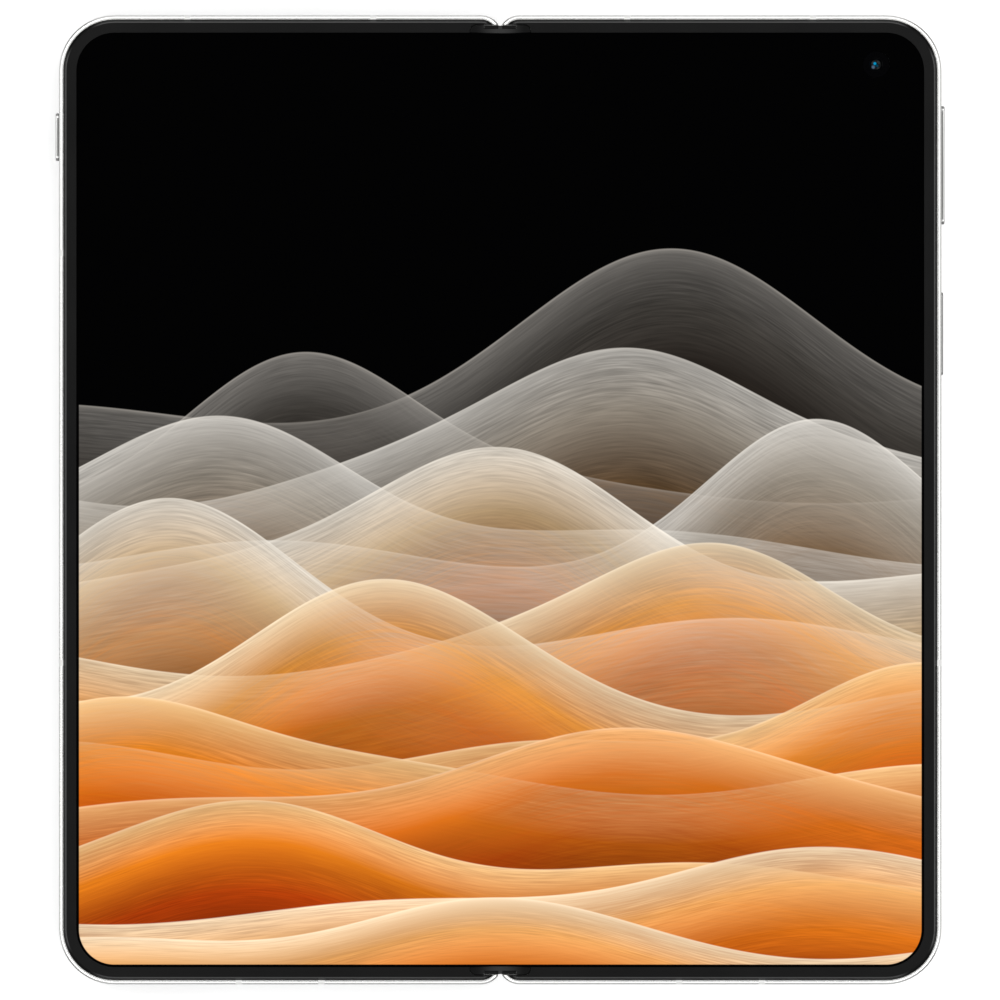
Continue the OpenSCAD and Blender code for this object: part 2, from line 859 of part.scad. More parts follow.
// Metal rim of the camera island, a stepped and rounded turning
module camera_ring() {
    color("silver") translate([cam_mid[0], cam_mid[1], 0]) rotate_extrude() difference() {
        union() {
            translate([cam_r - cam_rim, rim_z]) square([cam_rim, cam_proud - rim_z]);
            translate([cam_r - cam_rim - rim_seat, cam_glass_t])
                square([rim_seat, cam_proud + inside_z - cam_glass_t]);
        }
        difference() {
            translate([cam_r - rim_fillet, -cut])
                square([cut + rim_fillet, cut + rim_fillet + rim_z]);
            translate([cam_r - rim_fillet, rim_z + rim_fillet]) circle(rim_fillet);
        }
    }
}

// Places its children at every lens
module lens_stations() {
    for (a = lens_angles) translate([lens_pos * cos(a), lens_pos * sin(a), 0]) children();
}

// Places its children at the flash
module flash_station() {
    translate([lens_pos * cos(flash_angle), lens_pos * sin(flash_angle), 0]) children();
}

// Holes through the web for the camera modules
module module_holes() {
    lens_stations() cylinder(r = lens_bore + inner_gap, h = 2 * body_t);
}

module camera_glass() {
    color("#151517") translate([cam_mid[0], cam_mid[1], 0]) difference() {
        cylinder(r = cam_r - cam_rim - glass_gap, h = cam_glass_t);
        lens_stations() translate([0, 0, -cut])
            cylinder(r = lens_ring_r + glass_gap, h = cam_glass_t + 2 * cut);
        flash_station() translate([0, 0, -cut])
            cylinder(r = flash_r + glass_gap, h = cam_glass_t + 2 * cut);
    }
}

module lens_rings() {
    color("#8a8c90") translate([cam_mid[0], cam_mid[1], 0]) lens_stations()
        translate([0, 0, lens_recess]) rotate_extrude() difference() {
            translate([lens_bore, 0]) square([lens_ring_w, cam_proud - ring_back]);
            polygon([
                [lens_bore - cut, -cut],
                [lens_ring_r - ring_lip, -cut],
                [lens_ring_r - ring_lip, 0],
                [lens_bore, ring_bevel],
                [lens_bore - cut, ring_bevel]
            ]);
        }
}

module camera_lenses() {
    color("#0d1116") translate([cam_mid[0], cam_mid[1], 0]) {
        lens_stations() translate([0, 0, lens_recess + lens_drop])
            cylinder(r = lens_bore - fit_gap, h = lens_t);
        flash_station() translate([0, 0, lens_recess]) cylinder(r = flash_r, h = flash_t);
    }
}

module camera_modules() {
    color("dimgray") translate([cam_mid[0], cam_mid[1], 0]) {
        lens_stations() translate([0, 0, lens_end])
            cylinder(r = lens_bore - fit_gap, h = cam_proud + plate_z - lens_end - end_inset);
        flash_station() translate([0, 0, lens_recess + flash_t])
            cylinder(r = flash_r - flash_wall, h = cam_proud + inside_z + flash_back - lens_recess - flash_t);
    }
}

// ---------------------------------------------------------------- back of the left half

module cover_glass() {
    color("#060606") lifted() left_side() linear_extrude(back_t) back_plan();
}

module cover_display() {
    color("#0b0b0d") lifted() left_side() difference() {
        translate([0, 0, inside_z]) linear_extrude(cover_panel_t)
            half_plan(cover_panel_in, bar_x + inner_gap);
        translate([half_w / 2, half_h - cover_cam_y, 0])
            cylinder(r = cover_cam_r + glass_gap, h = body_t);
    }
}

module cover_camera() {
    color("#101418") lifted() left_side() translate([half_w / 2, half_h - cover_cam_y, inside_z])
        cylinder(r = cover_cam_r, h = web_z - inside_z - inner_gap);
}

// ---------------------------------------------------------------- inner pieces

// A flat pouch with rounded long sides
module pouch(x0, x1, mid_y, len, z0, z1) {
    r = (z1 - z0) / 2;
    translate([0, mid_y, 0]) along_y(-len / 2, len / 2) {
        translate([x0 + r, z0]) square([x1 - x0 - 2 * r, z1 - z0]);
        for (x = [x0 + r, x1 - r]) translate([x, z0 + r]) circle(r);
    }
}

module battery_right() {
    color("#3a3d42") lifted()
        pouch(inner_x0, inner_x1, battery_right_y, battery_right_h, inside_z + coil_t, web_z);
}

module battery_left() {
    color("#3a3d42") lifted() left_side()
        pouch(inner_x0, inner_x1, 0, battery_left_h, upper_z, web_z);
}

module wireless_coil() {
    color("#b8763a") lifted() translate([half_w / 2, battery_right_y, inside_z]) difference() {
        cylinder(r = coil_r, h = coil_t);
        translate([0, 0, -cut]) cylinder(r = coil_r - coil_w, h = coil_t + 2 * cut);
    }
}

// Main circuit board round the camera modules, with its shield cans
module main_board() {
    y0 = battery_right_y + battery_right_h / 2 + board_gap;
    color("#1f5a3c") lifted() difference() {
        union() {
            translate([inner_x0, y0, web_z - board_t])
                cube([inner_x1 - inner_x0 - key_space, inner_y1 - y0 - corner_r, board_t]);
            translate([inner_x0, y0, web_z - board_t])
                cube([inner_x1 - inner_x0 - corner_r, inner_y1 - y0, board_t]);
            for (y = [y0 + shield_margin, inner_y1 - shield_h - 2 * shield_margin])
                translate([inner_x0 + shield_in, y, web_z - board_t - shield_t])
                    cube([shield_w, shield_h, shield_t]);
        }
        translate([cam_mid[0], cam_mid[1], 0]) {
            module_holes();
            flash_station() cylinder(r = flash_r + inner_gap, h = body_t);
        }
        inner_camera_hole();
        translate([inner_cam_mid[0], inner_cam_mid[1], 0])
            cylinder(r = inner_cam_r + inner_gap, h = body_t);
    }
}

// Circuit board of the left half, with one large shielded block
module sub_board() {
    y0 = battery_left_h / 2 + board_gap;
    color("#1f5a3c") lifted() left_side() difference() {
        union() {
            translate([inner_x0, y0, web_z - board_t])
                cube([inner_x1 - inner_x0 - key_space, inner_y1 - y0 - corner_r, board_t]);
            translate([inner_x0, inner_y1 - corner_r - cut, web_z - board_t])
                cube([inner_x1 - inner_x0 - corner_r, corner_r + cut, board_t]);
            translate([inner_x0 + chip_x, y0 + chip_y, upper_z])
                cube([chip_w, chip_h, web_z - board_t - upper_z]);
        }
        translate([half_w / 2, half_h - cover_cam_y, 0])
            cylinder(r = cover_cam_r + inner_gap, h = body_t);
        translate([half_w / 2 - earpiece_w / 2 - inner_gap, half_h - rail_w - earpiece_d - 2 * inner_gap, 0])
            cube([earpiece_w + 2 * inner_gap, earpiece_d + rail_w, body_t]);
    }
}

// Charging port: metal mouth with a closed back and a tongue
module usb_port() {
    y0 = end_inset - half_h;
    color("#9a9ca0") lifted() {
        along_y(y0, y0 + port_d) translate([port_x, port_z]) difference() {
            slot_2d(port_w + 2 * port_wall, port_h + 2 * port_wall);
            slot_2d(port_w, port_h);
        }
        along_y(y0 + port_d - port_back, y0 + port_d) translate([port_x, port_z])
            slot_2d(port_w + port_wall, port_h + port_wall);
        along_y(y0 + tongue_in, y0 + port_d - port_back) translate([port_x, port_z])
            square([tongue_w, tongue_t], center = true);
    }
}

module haptic_motor() {
    color("#85878c") lifted() translate([inner_x0, rail_w + piece_gap - half_h, web_z - haptic_t])
        cube([haptic_w, haptic_h, haptic_t]);
}

module loudspeaker_right() {
    x0 = port_x + port_w / 2 + port_wall + speaker_in;
    color("#26282b") lifted() translate([x0, rail_w + inner_gap - half_h, web_z - speaker_t])
        cube([speaker_w, speaker_h, speaker_t]);
}

module earpiece() {
    color("#26282b") lifted() left_side()
        translate([half_w / 2 - earpiece_w / 2, half_h - rail_w - inner_gap - earpiece_d, upper_z])
            cube([earpiece_w, earpiece_d, web_z - upper_z]);
}

// ---------------------------------------------------------------- keys

// A key with its inner flange
module key_body(mid_y, len, proud) {
    lifted() {
        along_x(half_w - key_wall - key_overlap, half_w + proud) translate([mid_y, key_z])
            slot_2d(len, key_t);
        translate([key_in_x, mid_y - len / 2 - key_flange, key_z - key_t / 2])
            cube([half_w - key_wall - flange_gap - key_in_x, len + 2 * key_flange, key_t]);
        translate([key_in_x, mid_y - len / 2 + key_t, key_z - key_t / 2])
            cube([half_w - key_wall - key_in_x, len - 2 * key_t, key_t]);
    }
}

// The volume key rocks on a round nub in the middle of its inner face
module volume_key() {
    color("silver") {
        key_body(half_h - volume_y, volume_len, volume_proud);
        lifted() translate([key_in_x, half_h - volume_y, key_z - key_t / 2])
            cylinder(r = nub_r, h = key_t);
    }
}

module power_key() {
    color("silver") key_body(half_h - power_y, power_len, power_proud);
}

module side_key() {
    color("silver") left_side() key_body(half_h - side_y, side_len, side_proud);
}

// Switch carrier behind a key, len long along the rail
module switch_carrier(mid_y, len) {
    translate([carrier_x, mid_y - len / 2, key_z - carrier_h / 2])
        cube([carrier_t, len, carrier_h]);
}

// Dome switch that a key presses
module dome_switch(mid_y) {
    translate([switch_x, mid_y, key_z]) rotate([0, -90, 0]) cylinder(r = dome_r, h = dome_t);
}

// Two domes for the volume key, with the saddle of its nub between them, and one for the power key
module key_switches_right() {
    volume_mid = half_h - volume_y;
    saddle_x = key_in_x - nub_r - bore_gap;
    color("#c9a24a") lifted() {
        switch_carrier(volume_mid, 2 * dome_share * volume_len + carrier_w);
        for (side = [-1, 1]) dome_switch(volume_mid + side * dome_share * volume_len);
        translate([switch_x - dome_t, volume_mid - 2 * nub_r, key_z - carrier_h / 2])
            cube([saddle_x - switch_x + dome_t, 4 * nub_r, carrier_h]);
        switch_carrier(half_h - power_y, carrier_w);
        dome_switch(half_h - power_y);
    }
}

module key_switch_left() {
    color("#c9a24a") lifted() left_side() {
        switch_carrier(half_h - side_y, carrier_w);
        dome_switch(half_h - side_y);
    }
}

// ---------------------------------------------------------------- card tray

// Card tray with its face plate, the card's recess and the eject hole
module sim_tray() {
    y0 = end_inset - half_h;
    color("gainsboro") lifted() left_side() difference() {
        union() {
            along_y(y0, y0 + tray_face_t) translate([tray_mid, tray_z]) slot_2d(tray_w, tray_h);
            translate([tray_mid - tray_plate_w / 2, y0 + tray_face_t, tray_z - tray_plate_t / 2])
                cube([tray_plate_w, tray_d - tray_face_t, tray_plate_t]);
        }
        translate([tray_mid - card_w / 2, y0 + card_from, tray_z - tray_plate_t / 2 + tray_floor])
            cube([card_w, card_h, tray_plate_t]);
        translate([tray_mid + tray_w / 2 - tray_h / 2 - eject_in, y0 - cut, tray_z])
            rotate([-90, 0, 0]) cylinder(r = eject_r, h = eject_d);
    }
}

// Sleeve in which the card tray slides
module sim_reader() {
    y0 = -half_h + rail_w + inner_gap;
    w = tray_plate_w + 2 * reader_side;
    color("#8d9094") lifted() left_side() difference() {
        translate([tray_mid - w / 2, y0, tray_z - tray_plate_t / 2 - reader_skin])
            cube([w, tray_d - piece_gap, tray_plate_t + 2 * reader_skin]);
        translate([tray_mid - tray_plate_w / 2, y0 - cut, tray_z - tray_plate_t / 2]
            - [slide_gap, 0, slide_gap])
            cube([tray_plate_w + 2 * slide_gap, tray_d - rail_w + reader_side + cut,
                tray_plate_t + 2 * slide_gap]);
    }
}

// ---------------------------------------------------------------- hinge

// Round-bottomed outline of the spine, of radius r
module spine_2d(r) {
    for (x = [-1, 1]) translate([x * axis_x, axis_z]) circle(r);
    translate([-axis_x, axis_z - r]) square([2 * axis_x, r]);
}

// Keeps what lies below height z
module below(z) {
    intersection() {
        children();
        translate([-bar_x, 0]) square([2 * bar_x, z]);
    }
}

module spine_cover() {
    color("silver") lifted() along_y(-spine_h, spine_h) below(spine_top) difference() {
        spine_2d(spine_r);
        spine_2d(spine_in_r);
    }
}

module spine_end_caps() {
    color("silver") lifted() for (y = [0, 1]) mirror([0, y, 0])
        along_y(spine_h - end_cap_t, spine_h) below(spine_top) spine_2d(spine_in_r);
}

// Carrier of the gears, springs and shoes, one per module
module hinge_bases() {
    color("slategray") lifted() at_modules() difference() {
        along_y(0, module_len) below(spine_top) spine_2d(spine_in_r);
        bay(st_gear - side_gap, gear_w + strap_w + 3 * side_gap);
        bay(st_spring, spring_bay);
        shoe_channel(st_shoe_a, 1);
        shoe_channel(st_shoe_b, -1);
        for (x = [-3, -1, 1, 3]) translate([x * gear_pitch_r, -cut, gear_z]) rotate([-90, 0, 0])
            cylinder(r = shaft_r, h = cut + shaft_length(x));
    }
}

// Length of a gear shaft: the outer two reach through the spring bay
function shaft_length(x) = abs(x) > 1 ? st_wall_c + base_wall / 2 : st_wall_b + base_wall / 2;

// Straight-sided bay cut down to a thin floor
module bay(y0, len) {
    floor_z = axis_z - spine_in_r + bay_floor;
    translate([-bar_x, y0, floor_z]) cube([2 * bar_x, len, body_t]);
}

// Round channel in which a shoe slides about its fold axis
module shoe_channel(y0, side) {
    along_y(y0, y0 + shoe_w + 2 * side_gap) translate([side * axis_x, axis_z]) difference() {
        circle(spine_in_r + cut);
        circle(shoe_in_r - side_gap);
    }
}

module gear_shafts() {
    color("silver") lifted() at_modules() for (x = [-3, -1, 1, 3])
        translate([x * gear_pitch_r, shaft_inset, gear_z]) rotate([-90, 0, 0])
            cylinder(r = shaft_r, h = shaft_length(x) - shaft_inset);
}

// Dished friction springs on the outer shafts
module friction_springs() {
    step = spring_bay / spring_folds;
    color("#4a4a4a") lifted() at_modules() for (x = [-1, 1])
        translate([x * arm_x, st_spring, gear_z]) rotate([-90, 0, 0]) rotate_extrude()
            polygon(concat(
                [for (i = [0 : spring_folds]) [i % 2 == 0 ? spring_r : spring_r - spring_dish, i * step]],
                [[shaft_r, spring_bay], [shaft_r, 0]]
            ));
}

// Cover over the middle of the spine, on two legs
module center_plate() {
    len = 2 * (module_y - module_len / 2) - center_end_gap;
    x = axis_x + sqrt(pow(spine_in_r, 2) - pow(axis_z - spine_top, 2)) - center_side_gap;
    floor_z = axis_z - spine_in_r;
    color("gray") lifted() along_y(-len / 2, len / 2) {
        translate([-x, spine_top - center_t]) square([2 * x, center_t]);
        for (side = [-1, 1]) translate([side * leg_x - leg_t / 2, floor_z])
            square([leg_t, spine_top - floor_z]);
    }
}

// Radius to which an involute flank has unrolled, as a polar angle
function unrolled(r, base_r) = r <= base_r ? 0
    : sqrt(pow(r / base_r, 2) - 1) * 180 / PI - acos(base_r / r);

// Involute gear outline with its first tooth at angle turn
module gear_2d(turn) {
    m = 2 * gear_pitch_r / gear_teeth;
    base_r = gear_pitch_r * cos(pressure_angle);
    tip_r = gear_pitch_r + addendum * m;
    root_r = gear_pitch_r - dedendum * m;
    half_p = 90 / gear_teeth - backlash + unrolled(gear_pitch_r, base_r);
    radii = [root_r, base_r, (base_r + gear_pitch_r) / 2, gear_pitch_r, (gear_pitch_r + tip_r) / 2, tip_r];
    last = len(radii) - 1;
    polygon([for (k = [0 : gear_teeth - 1], i = [0 : 2 * last + 1])
        let (up = i <= last, r = radii[up ? i : 2 * last + 1 - i],
            a = turn + k * 360 / gear_teeth + (up ? -1 : 1) * (half_p - unrolled(r, base_r)))
        [r * cos(a), r * sin(a)]]);
}

// Strap of a timing arm: over the spine's edge and down to its pin
module strap_2d() {
    low = spine_top + top_gap;
    high = plate_z - side_gap;
    translate([arm_x, gear_z]) circle(strap_hub_r);
    polygon([
        [arm_x - strap_back, gear_z + strap_up],
        [arm_x + strap_rise, high],
        [arm_x + strap_reach, high],
        [arm_x + strap_reach + strap_run, pin_z + strap_half],
        [pin_x, pin_z + strap_half],
        [pin_x, pin_z - strap_half],
        [arm_x + strap_reach + strap_run / 2, pin_z - strap_half],
        [arm_x + strap_reach - strap_rise, low],
        [arm_x + strap_heel, low],
        [arm_x + strap_back, gear_z - strap_up]
    ]);
    translate([pin_x, pin_z]) circle(strap_eye_r);
}

// Timing arm: gear, hub, strap and pin, bored for its shaft
module sync_arm(turn) {
    at_modules() difference() {
        union() {
            along_y(st_gear, st_gear + gear_w) translate([arm_x, gear_z]) gear_2d(turn);
            along_y(st_gear + gear_w - hub_overlap, st_strap + strap_w) translate([arm_x, gear_z])
                circle(hub_r);
            along_y(st_strap, st_strap + strap_w) strap_2d();
            along_y(st_strap - pin_reach, st_strap + strap_w + pin_reach)
                translate([pin_x, pin_z]) circle(pin_r);
        }
        translate([arm_x, st_gear - cut, gear_z]) rotate([-90, 0, 0])
            cylinder(r = shaft_r + bore_gap, h = gear_w + strap_w + 2 * cut + side_gap);
    }
}

module sync_arm_right() color("#b9975b") lifted() sync_arm(0);

module sync_arm_left() color("#b9975b") lifted() left_side() sync_arm(180 / gear_teeth);

// Idler gear between the two timing arms
module idler(turn) {
    at_modules() along_y(st_gear, st_gear + gear_w) translate([gear_pitch_r, gear_z])
        difference() {
            gear_2d(turn);
            circle(shaft_r + bore_gap);
        }
}

module idler_gear_right() color("#b9975b") lifted() idler(180 / gear_teeth);

module idler_gear_left() color("#b9975b") lifted() left_side() idler(0);

// Curved slot that the timing arm's pin follows, a quarter turn long
module pin_slot_2d() {
    r = pin_r + bore_gap;
    translate([pin_x - orbit[0], pin_z - orbit[1]]) {
        intersection() {
            difference() {
                circle(orbit_r + r);
                circle(orbit_r - r);
            }
            polygon([[0, 0], fan * orbit, fan * (orbit + orbit_end), fan * orbit_end]);
        }
        for (p = [orbit, orbit_end]) translate(p) circle(r);
    }
}

// Slotted bracket with a cheek on either side of the strap
module bracket() {
    color("lightslategray") lifted() at_modules() {
        for (y = [st_strap - side_gap - cheek_w, st_strap + strap_w + side_gap])
            along_y(y, y + cheek_w) difference() {
                translate([bar_in_x, skin_z])
                    square([bracket_x - bar_in_x, plate_z - fit_gap - skin_z]);
                pin_slot_2d();
            }
        along_y(st_strap - side_gap, st_strap + strap_w + side_gap)
            translate([bar_in_x, skin_z]) square([bracket_x - bar_in_x, bracket_floor]);
    }
}

module hinge_brackets_right() bracket();

module hinge_brackets_left() left_side() bracket();

// Arm and sliding shoe, turning about the fold axis
module swing_arm(station) {
    a0 = shoe_angle_from - 90;
    a1 = shoe_angle_to - 90;
    along_y(station + side_gap, station + side_gap + shoe_w) {
        translate([axis_x, axis_z]) intersection() {
            difference() {
                circle(shoe_out_r);
                circle(shoe_in_r);
            }
            polygon([
                [0, 0],
                fan * shoe_out_r * [cos(a0), sin(a0)],
                fan * shoe_out_r * [cos((a0 + a1) / 2), sin((a0 + a1) / 2)],
                fan * shoe_out_r * [cos(a1), sin(a1)]
            ]);
        }
        translate([axis_x + shoe_in_r + arm_root, web_z])
            square([bracket_x - axis_x - shoe_in_r - arm_root, plate_z - web_z - arm_gap]);
    }
}

// Places its children at the two screws of a swing arm
module screw_stations(station) {
    for (x = screw_at) translate([bar_in_x + x, station + side_gap + shoe_w / 2, 0]) children();
}

module swing_arms(station) {
    color("slategray") lifted() at_modules() difference() {
        swing_arm(station);
        screw_stations(station) {
            cylinder(r = screw_r + fit_gap, h = body_t);
            translate([0, 0, plate_z - screw_sink]) cylinder(r = screw_head_r + fit_gap, h = cut);
        }
    }
}

module swing_arms_right() swing_arms(st_shoe_a);

module swing_arms_left() left_side() swing_arms(st_shoe_b);

module screws(station) {
    color("gray") lifted() at_modules() screw_stations(station) {
        translate([0, 0, web_z - screw_len]) cylinder(r = screw_r, h = screw_len + screw_sink);
        translate([0, 0, plate_z - screw_sink]) cylinder(r = screw_head_r, h = screw_head_t);
    }
}

module hinge_screws_right() screws(st_shoe_a);

module hinge_screws_left() left_side() screws(st_shoe_b);

// Ribbon cable that crosses the hinge
module hinge_flex() {
    color("#7a4a1e") lifted() {
        along_y(-flex_w / 2, flex_w / 2) translate([-bar_x - flex_tail, web_z + flex_lift])
            square([2 * (bar_x + flex_tail), flex_t]);
        for (side = [-1, 1])
            translate([side * (bar_x + flex_tail / 2) - plug_w / 2, plug_in - flex_w / 2, web_z - plug_drop])
                cube([plug_w, flex_w - 2 * plug_in, plug_t]);
    }
}

frame_right();
bezel_right();
display_right();
support_plate_right();
back_cover();
camera_ring();
camera_glass();
camera_lenses();
lens_rings();
camera_modules();
inner_camera();
battery_right();
main_board();
wireless_coil();
usb_port();
haptic_motor();
loudspeaker_right();
key_switches_right();
volume_key();
power_key();
antenna_bands_right();
hinge_brackets_right();
swing_arms_right();
hinge_screws_right();
frame_left();
bezel_left();
display_left();
support_plate_left();
cover_glass();
cover_display();
cover_camera();
battery_left();
sub_board();
earpiece();
sim_reader();
sim_tray();
side_key();
key_switch_left();
antenna_bands_left();
hinge_brackets_left();
swing_arms_left();
hinge_screws_left();
spine_cover();
spine_end_caps();
hinge_bases();
gear_shafts();
friction_springs();
center_plate();
sync_arm_right();
sync_arm_left();
idler_gear_right();
idler_gear_left();
fold_strip();
fold_lattice();
bezel_bridge();
hinge_flex();
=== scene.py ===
"""Looks of the book-style foldable phone, laid out unfolded with its inner display lit.

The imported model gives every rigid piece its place. This script dresses those pieces, models the
pieces that bend or that need finer shapes than the solids hold (the display sheet, the soft
bridges, the lenses, the glasses, the keys and the port), and sets up the studio.
"""

from __future__ import annotations

import json
import logging
import math
from dataclasses import dataclass, field
from enum import Enum
from typing import Iterable, Mapping, Sequence, Union

import bmesh
import bpy
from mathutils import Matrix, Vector

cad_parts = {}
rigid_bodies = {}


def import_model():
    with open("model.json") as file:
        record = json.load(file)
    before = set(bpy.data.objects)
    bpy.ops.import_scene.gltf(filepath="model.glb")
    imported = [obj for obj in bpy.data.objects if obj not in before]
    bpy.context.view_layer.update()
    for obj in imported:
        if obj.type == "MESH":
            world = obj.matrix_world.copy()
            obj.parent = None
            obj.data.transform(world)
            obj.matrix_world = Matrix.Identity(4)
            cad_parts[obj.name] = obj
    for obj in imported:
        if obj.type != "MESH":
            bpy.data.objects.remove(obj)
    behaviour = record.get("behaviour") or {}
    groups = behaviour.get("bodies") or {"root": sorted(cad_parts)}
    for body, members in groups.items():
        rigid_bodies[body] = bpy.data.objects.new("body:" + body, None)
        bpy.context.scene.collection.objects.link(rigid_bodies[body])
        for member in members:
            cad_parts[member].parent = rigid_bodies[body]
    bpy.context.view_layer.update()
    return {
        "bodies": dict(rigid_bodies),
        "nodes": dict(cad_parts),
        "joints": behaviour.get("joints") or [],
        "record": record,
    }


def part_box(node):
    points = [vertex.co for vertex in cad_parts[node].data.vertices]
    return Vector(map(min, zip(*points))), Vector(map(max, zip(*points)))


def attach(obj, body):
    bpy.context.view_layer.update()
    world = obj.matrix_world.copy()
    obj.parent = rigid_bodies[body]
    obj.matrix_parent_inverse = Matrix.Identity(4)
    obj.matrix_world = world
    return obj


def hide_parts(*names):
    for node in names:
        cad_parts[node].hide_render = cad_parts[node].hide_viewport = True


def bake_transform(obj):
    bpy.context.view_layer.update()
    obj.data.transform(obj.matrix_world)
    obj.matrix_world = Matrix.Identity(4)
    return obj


LOG = logging.getLogger("phone")
MM = 0.001
FLAT_FACING = 0.99999
FINE_GRAIN = 1e-6
MOULD_GRAIN = 3e-6
MOULD_SCALE = 7000.0
BLAST_SCALE = 9000.0
CLOUD_SCALE = 90.0
CLOUD_SPREAD = 0.06
NO_ZERO = 0.0001
WHITE = (1.0, 1.0, 1.0)
OVERLAP = 0.01 * MM

COVER_COATING = ((0.02, 0.04, 0.2), (0.07, 0.03, 0.2), (0.01, 0.02, 0.05))
LENS_COATINGS = (
    ((0.03, 0.03, 0.26), (0.03, 0.1, 0.3), (0.004, 0.004, 0.01)),
    ((0.02, 0.13, 0.2), (0.09, 0.03, 0.24), (0.004, 0.004, 0.01)),
    ((0.14, 0.03, 0.2), (0.03, 0.12, 0.18), (0.004, 0.004, 0.01)),
)

Point = tuple[float, float]
Colour = tuple[float, float, float]
Number = Union[int, float]


def linear(hex_colour: str) -> Colour:
    """Turns a display colour such as "#1f1f1f" into scene-linear red, green and blue.

    Args:
        hex_colour: Six hexadecimal digits after a hash sign.

    Returns:
        The three linear channels.
    """
    parts = [int(hex_colour[i : i + 2], 16) / 255 for i in (1, 3, 5)]
    return tuple(p / 12.92 if p <= 0.04045 else ((p + 0.055) / 1.055) ** 2.4 for p in parts)


# ------------------------------------------------------------------ shader toolkit


class Flavour(Enum):
    """What a wire carries, which decides the node that does its sums."""

    VALUE = "value"
    VECTOR = "vector"
    COLOUR = "colour"


@dataclass(frozen=True)
class Wire:
    """A socket's output with arithmetic, so that shader maths reads as an expression."""

    net: "Net"
    socket: bpy.types.NodeSocket
    flavour: Flavour = Flavour.VALUE

    def __add__(self, other: "Feed") -> "Wire":
        """self + other."""
        return self.net.sum_up("ADD", self, other)

    def __radd__(self, other: "Feed") -> "Wire":
        """other + self."""
        return self.net.sum_up("ADD", other, self)

    def __sub__(self, other: "Feed") -> "Wire":
        """self - other."""
        return self.net.sum_up("SUBTRACT", self, other)

    def __rsub__(self, other: "Feed") -> "Wire":
        """other - self."""
        return self.net.sum_up("SUBTRACT", other, self)

    def __mul__(self, other: "Feed") -> "Wire":
        """self * other."""
        return self.net.sum_up("MULTIPLY", self, other)

    def __rmul__(self, other: "Feed") -> "Wire":
        """other * self."""
        return self.net.sum_up("MULTIPLY", other, self)

    def __truediv__(self, other: "Feed") -> "Wire":
        """self / other."""
        return self.net.sum_up("DIVIDE", self, other)

    def __rtruediv__(self, other: "Feed") -> "Wire":
        """other / self."""
        return self.net.sum_up("DIVIDE", other, self)

    def __neg__(self) -> "Wire":
        """The wire with its sign turned."""
        return self.net.sum_up("MULTIPLY", self, -1.0)


Feed = Union[Wire, Number, Sequence[float]]


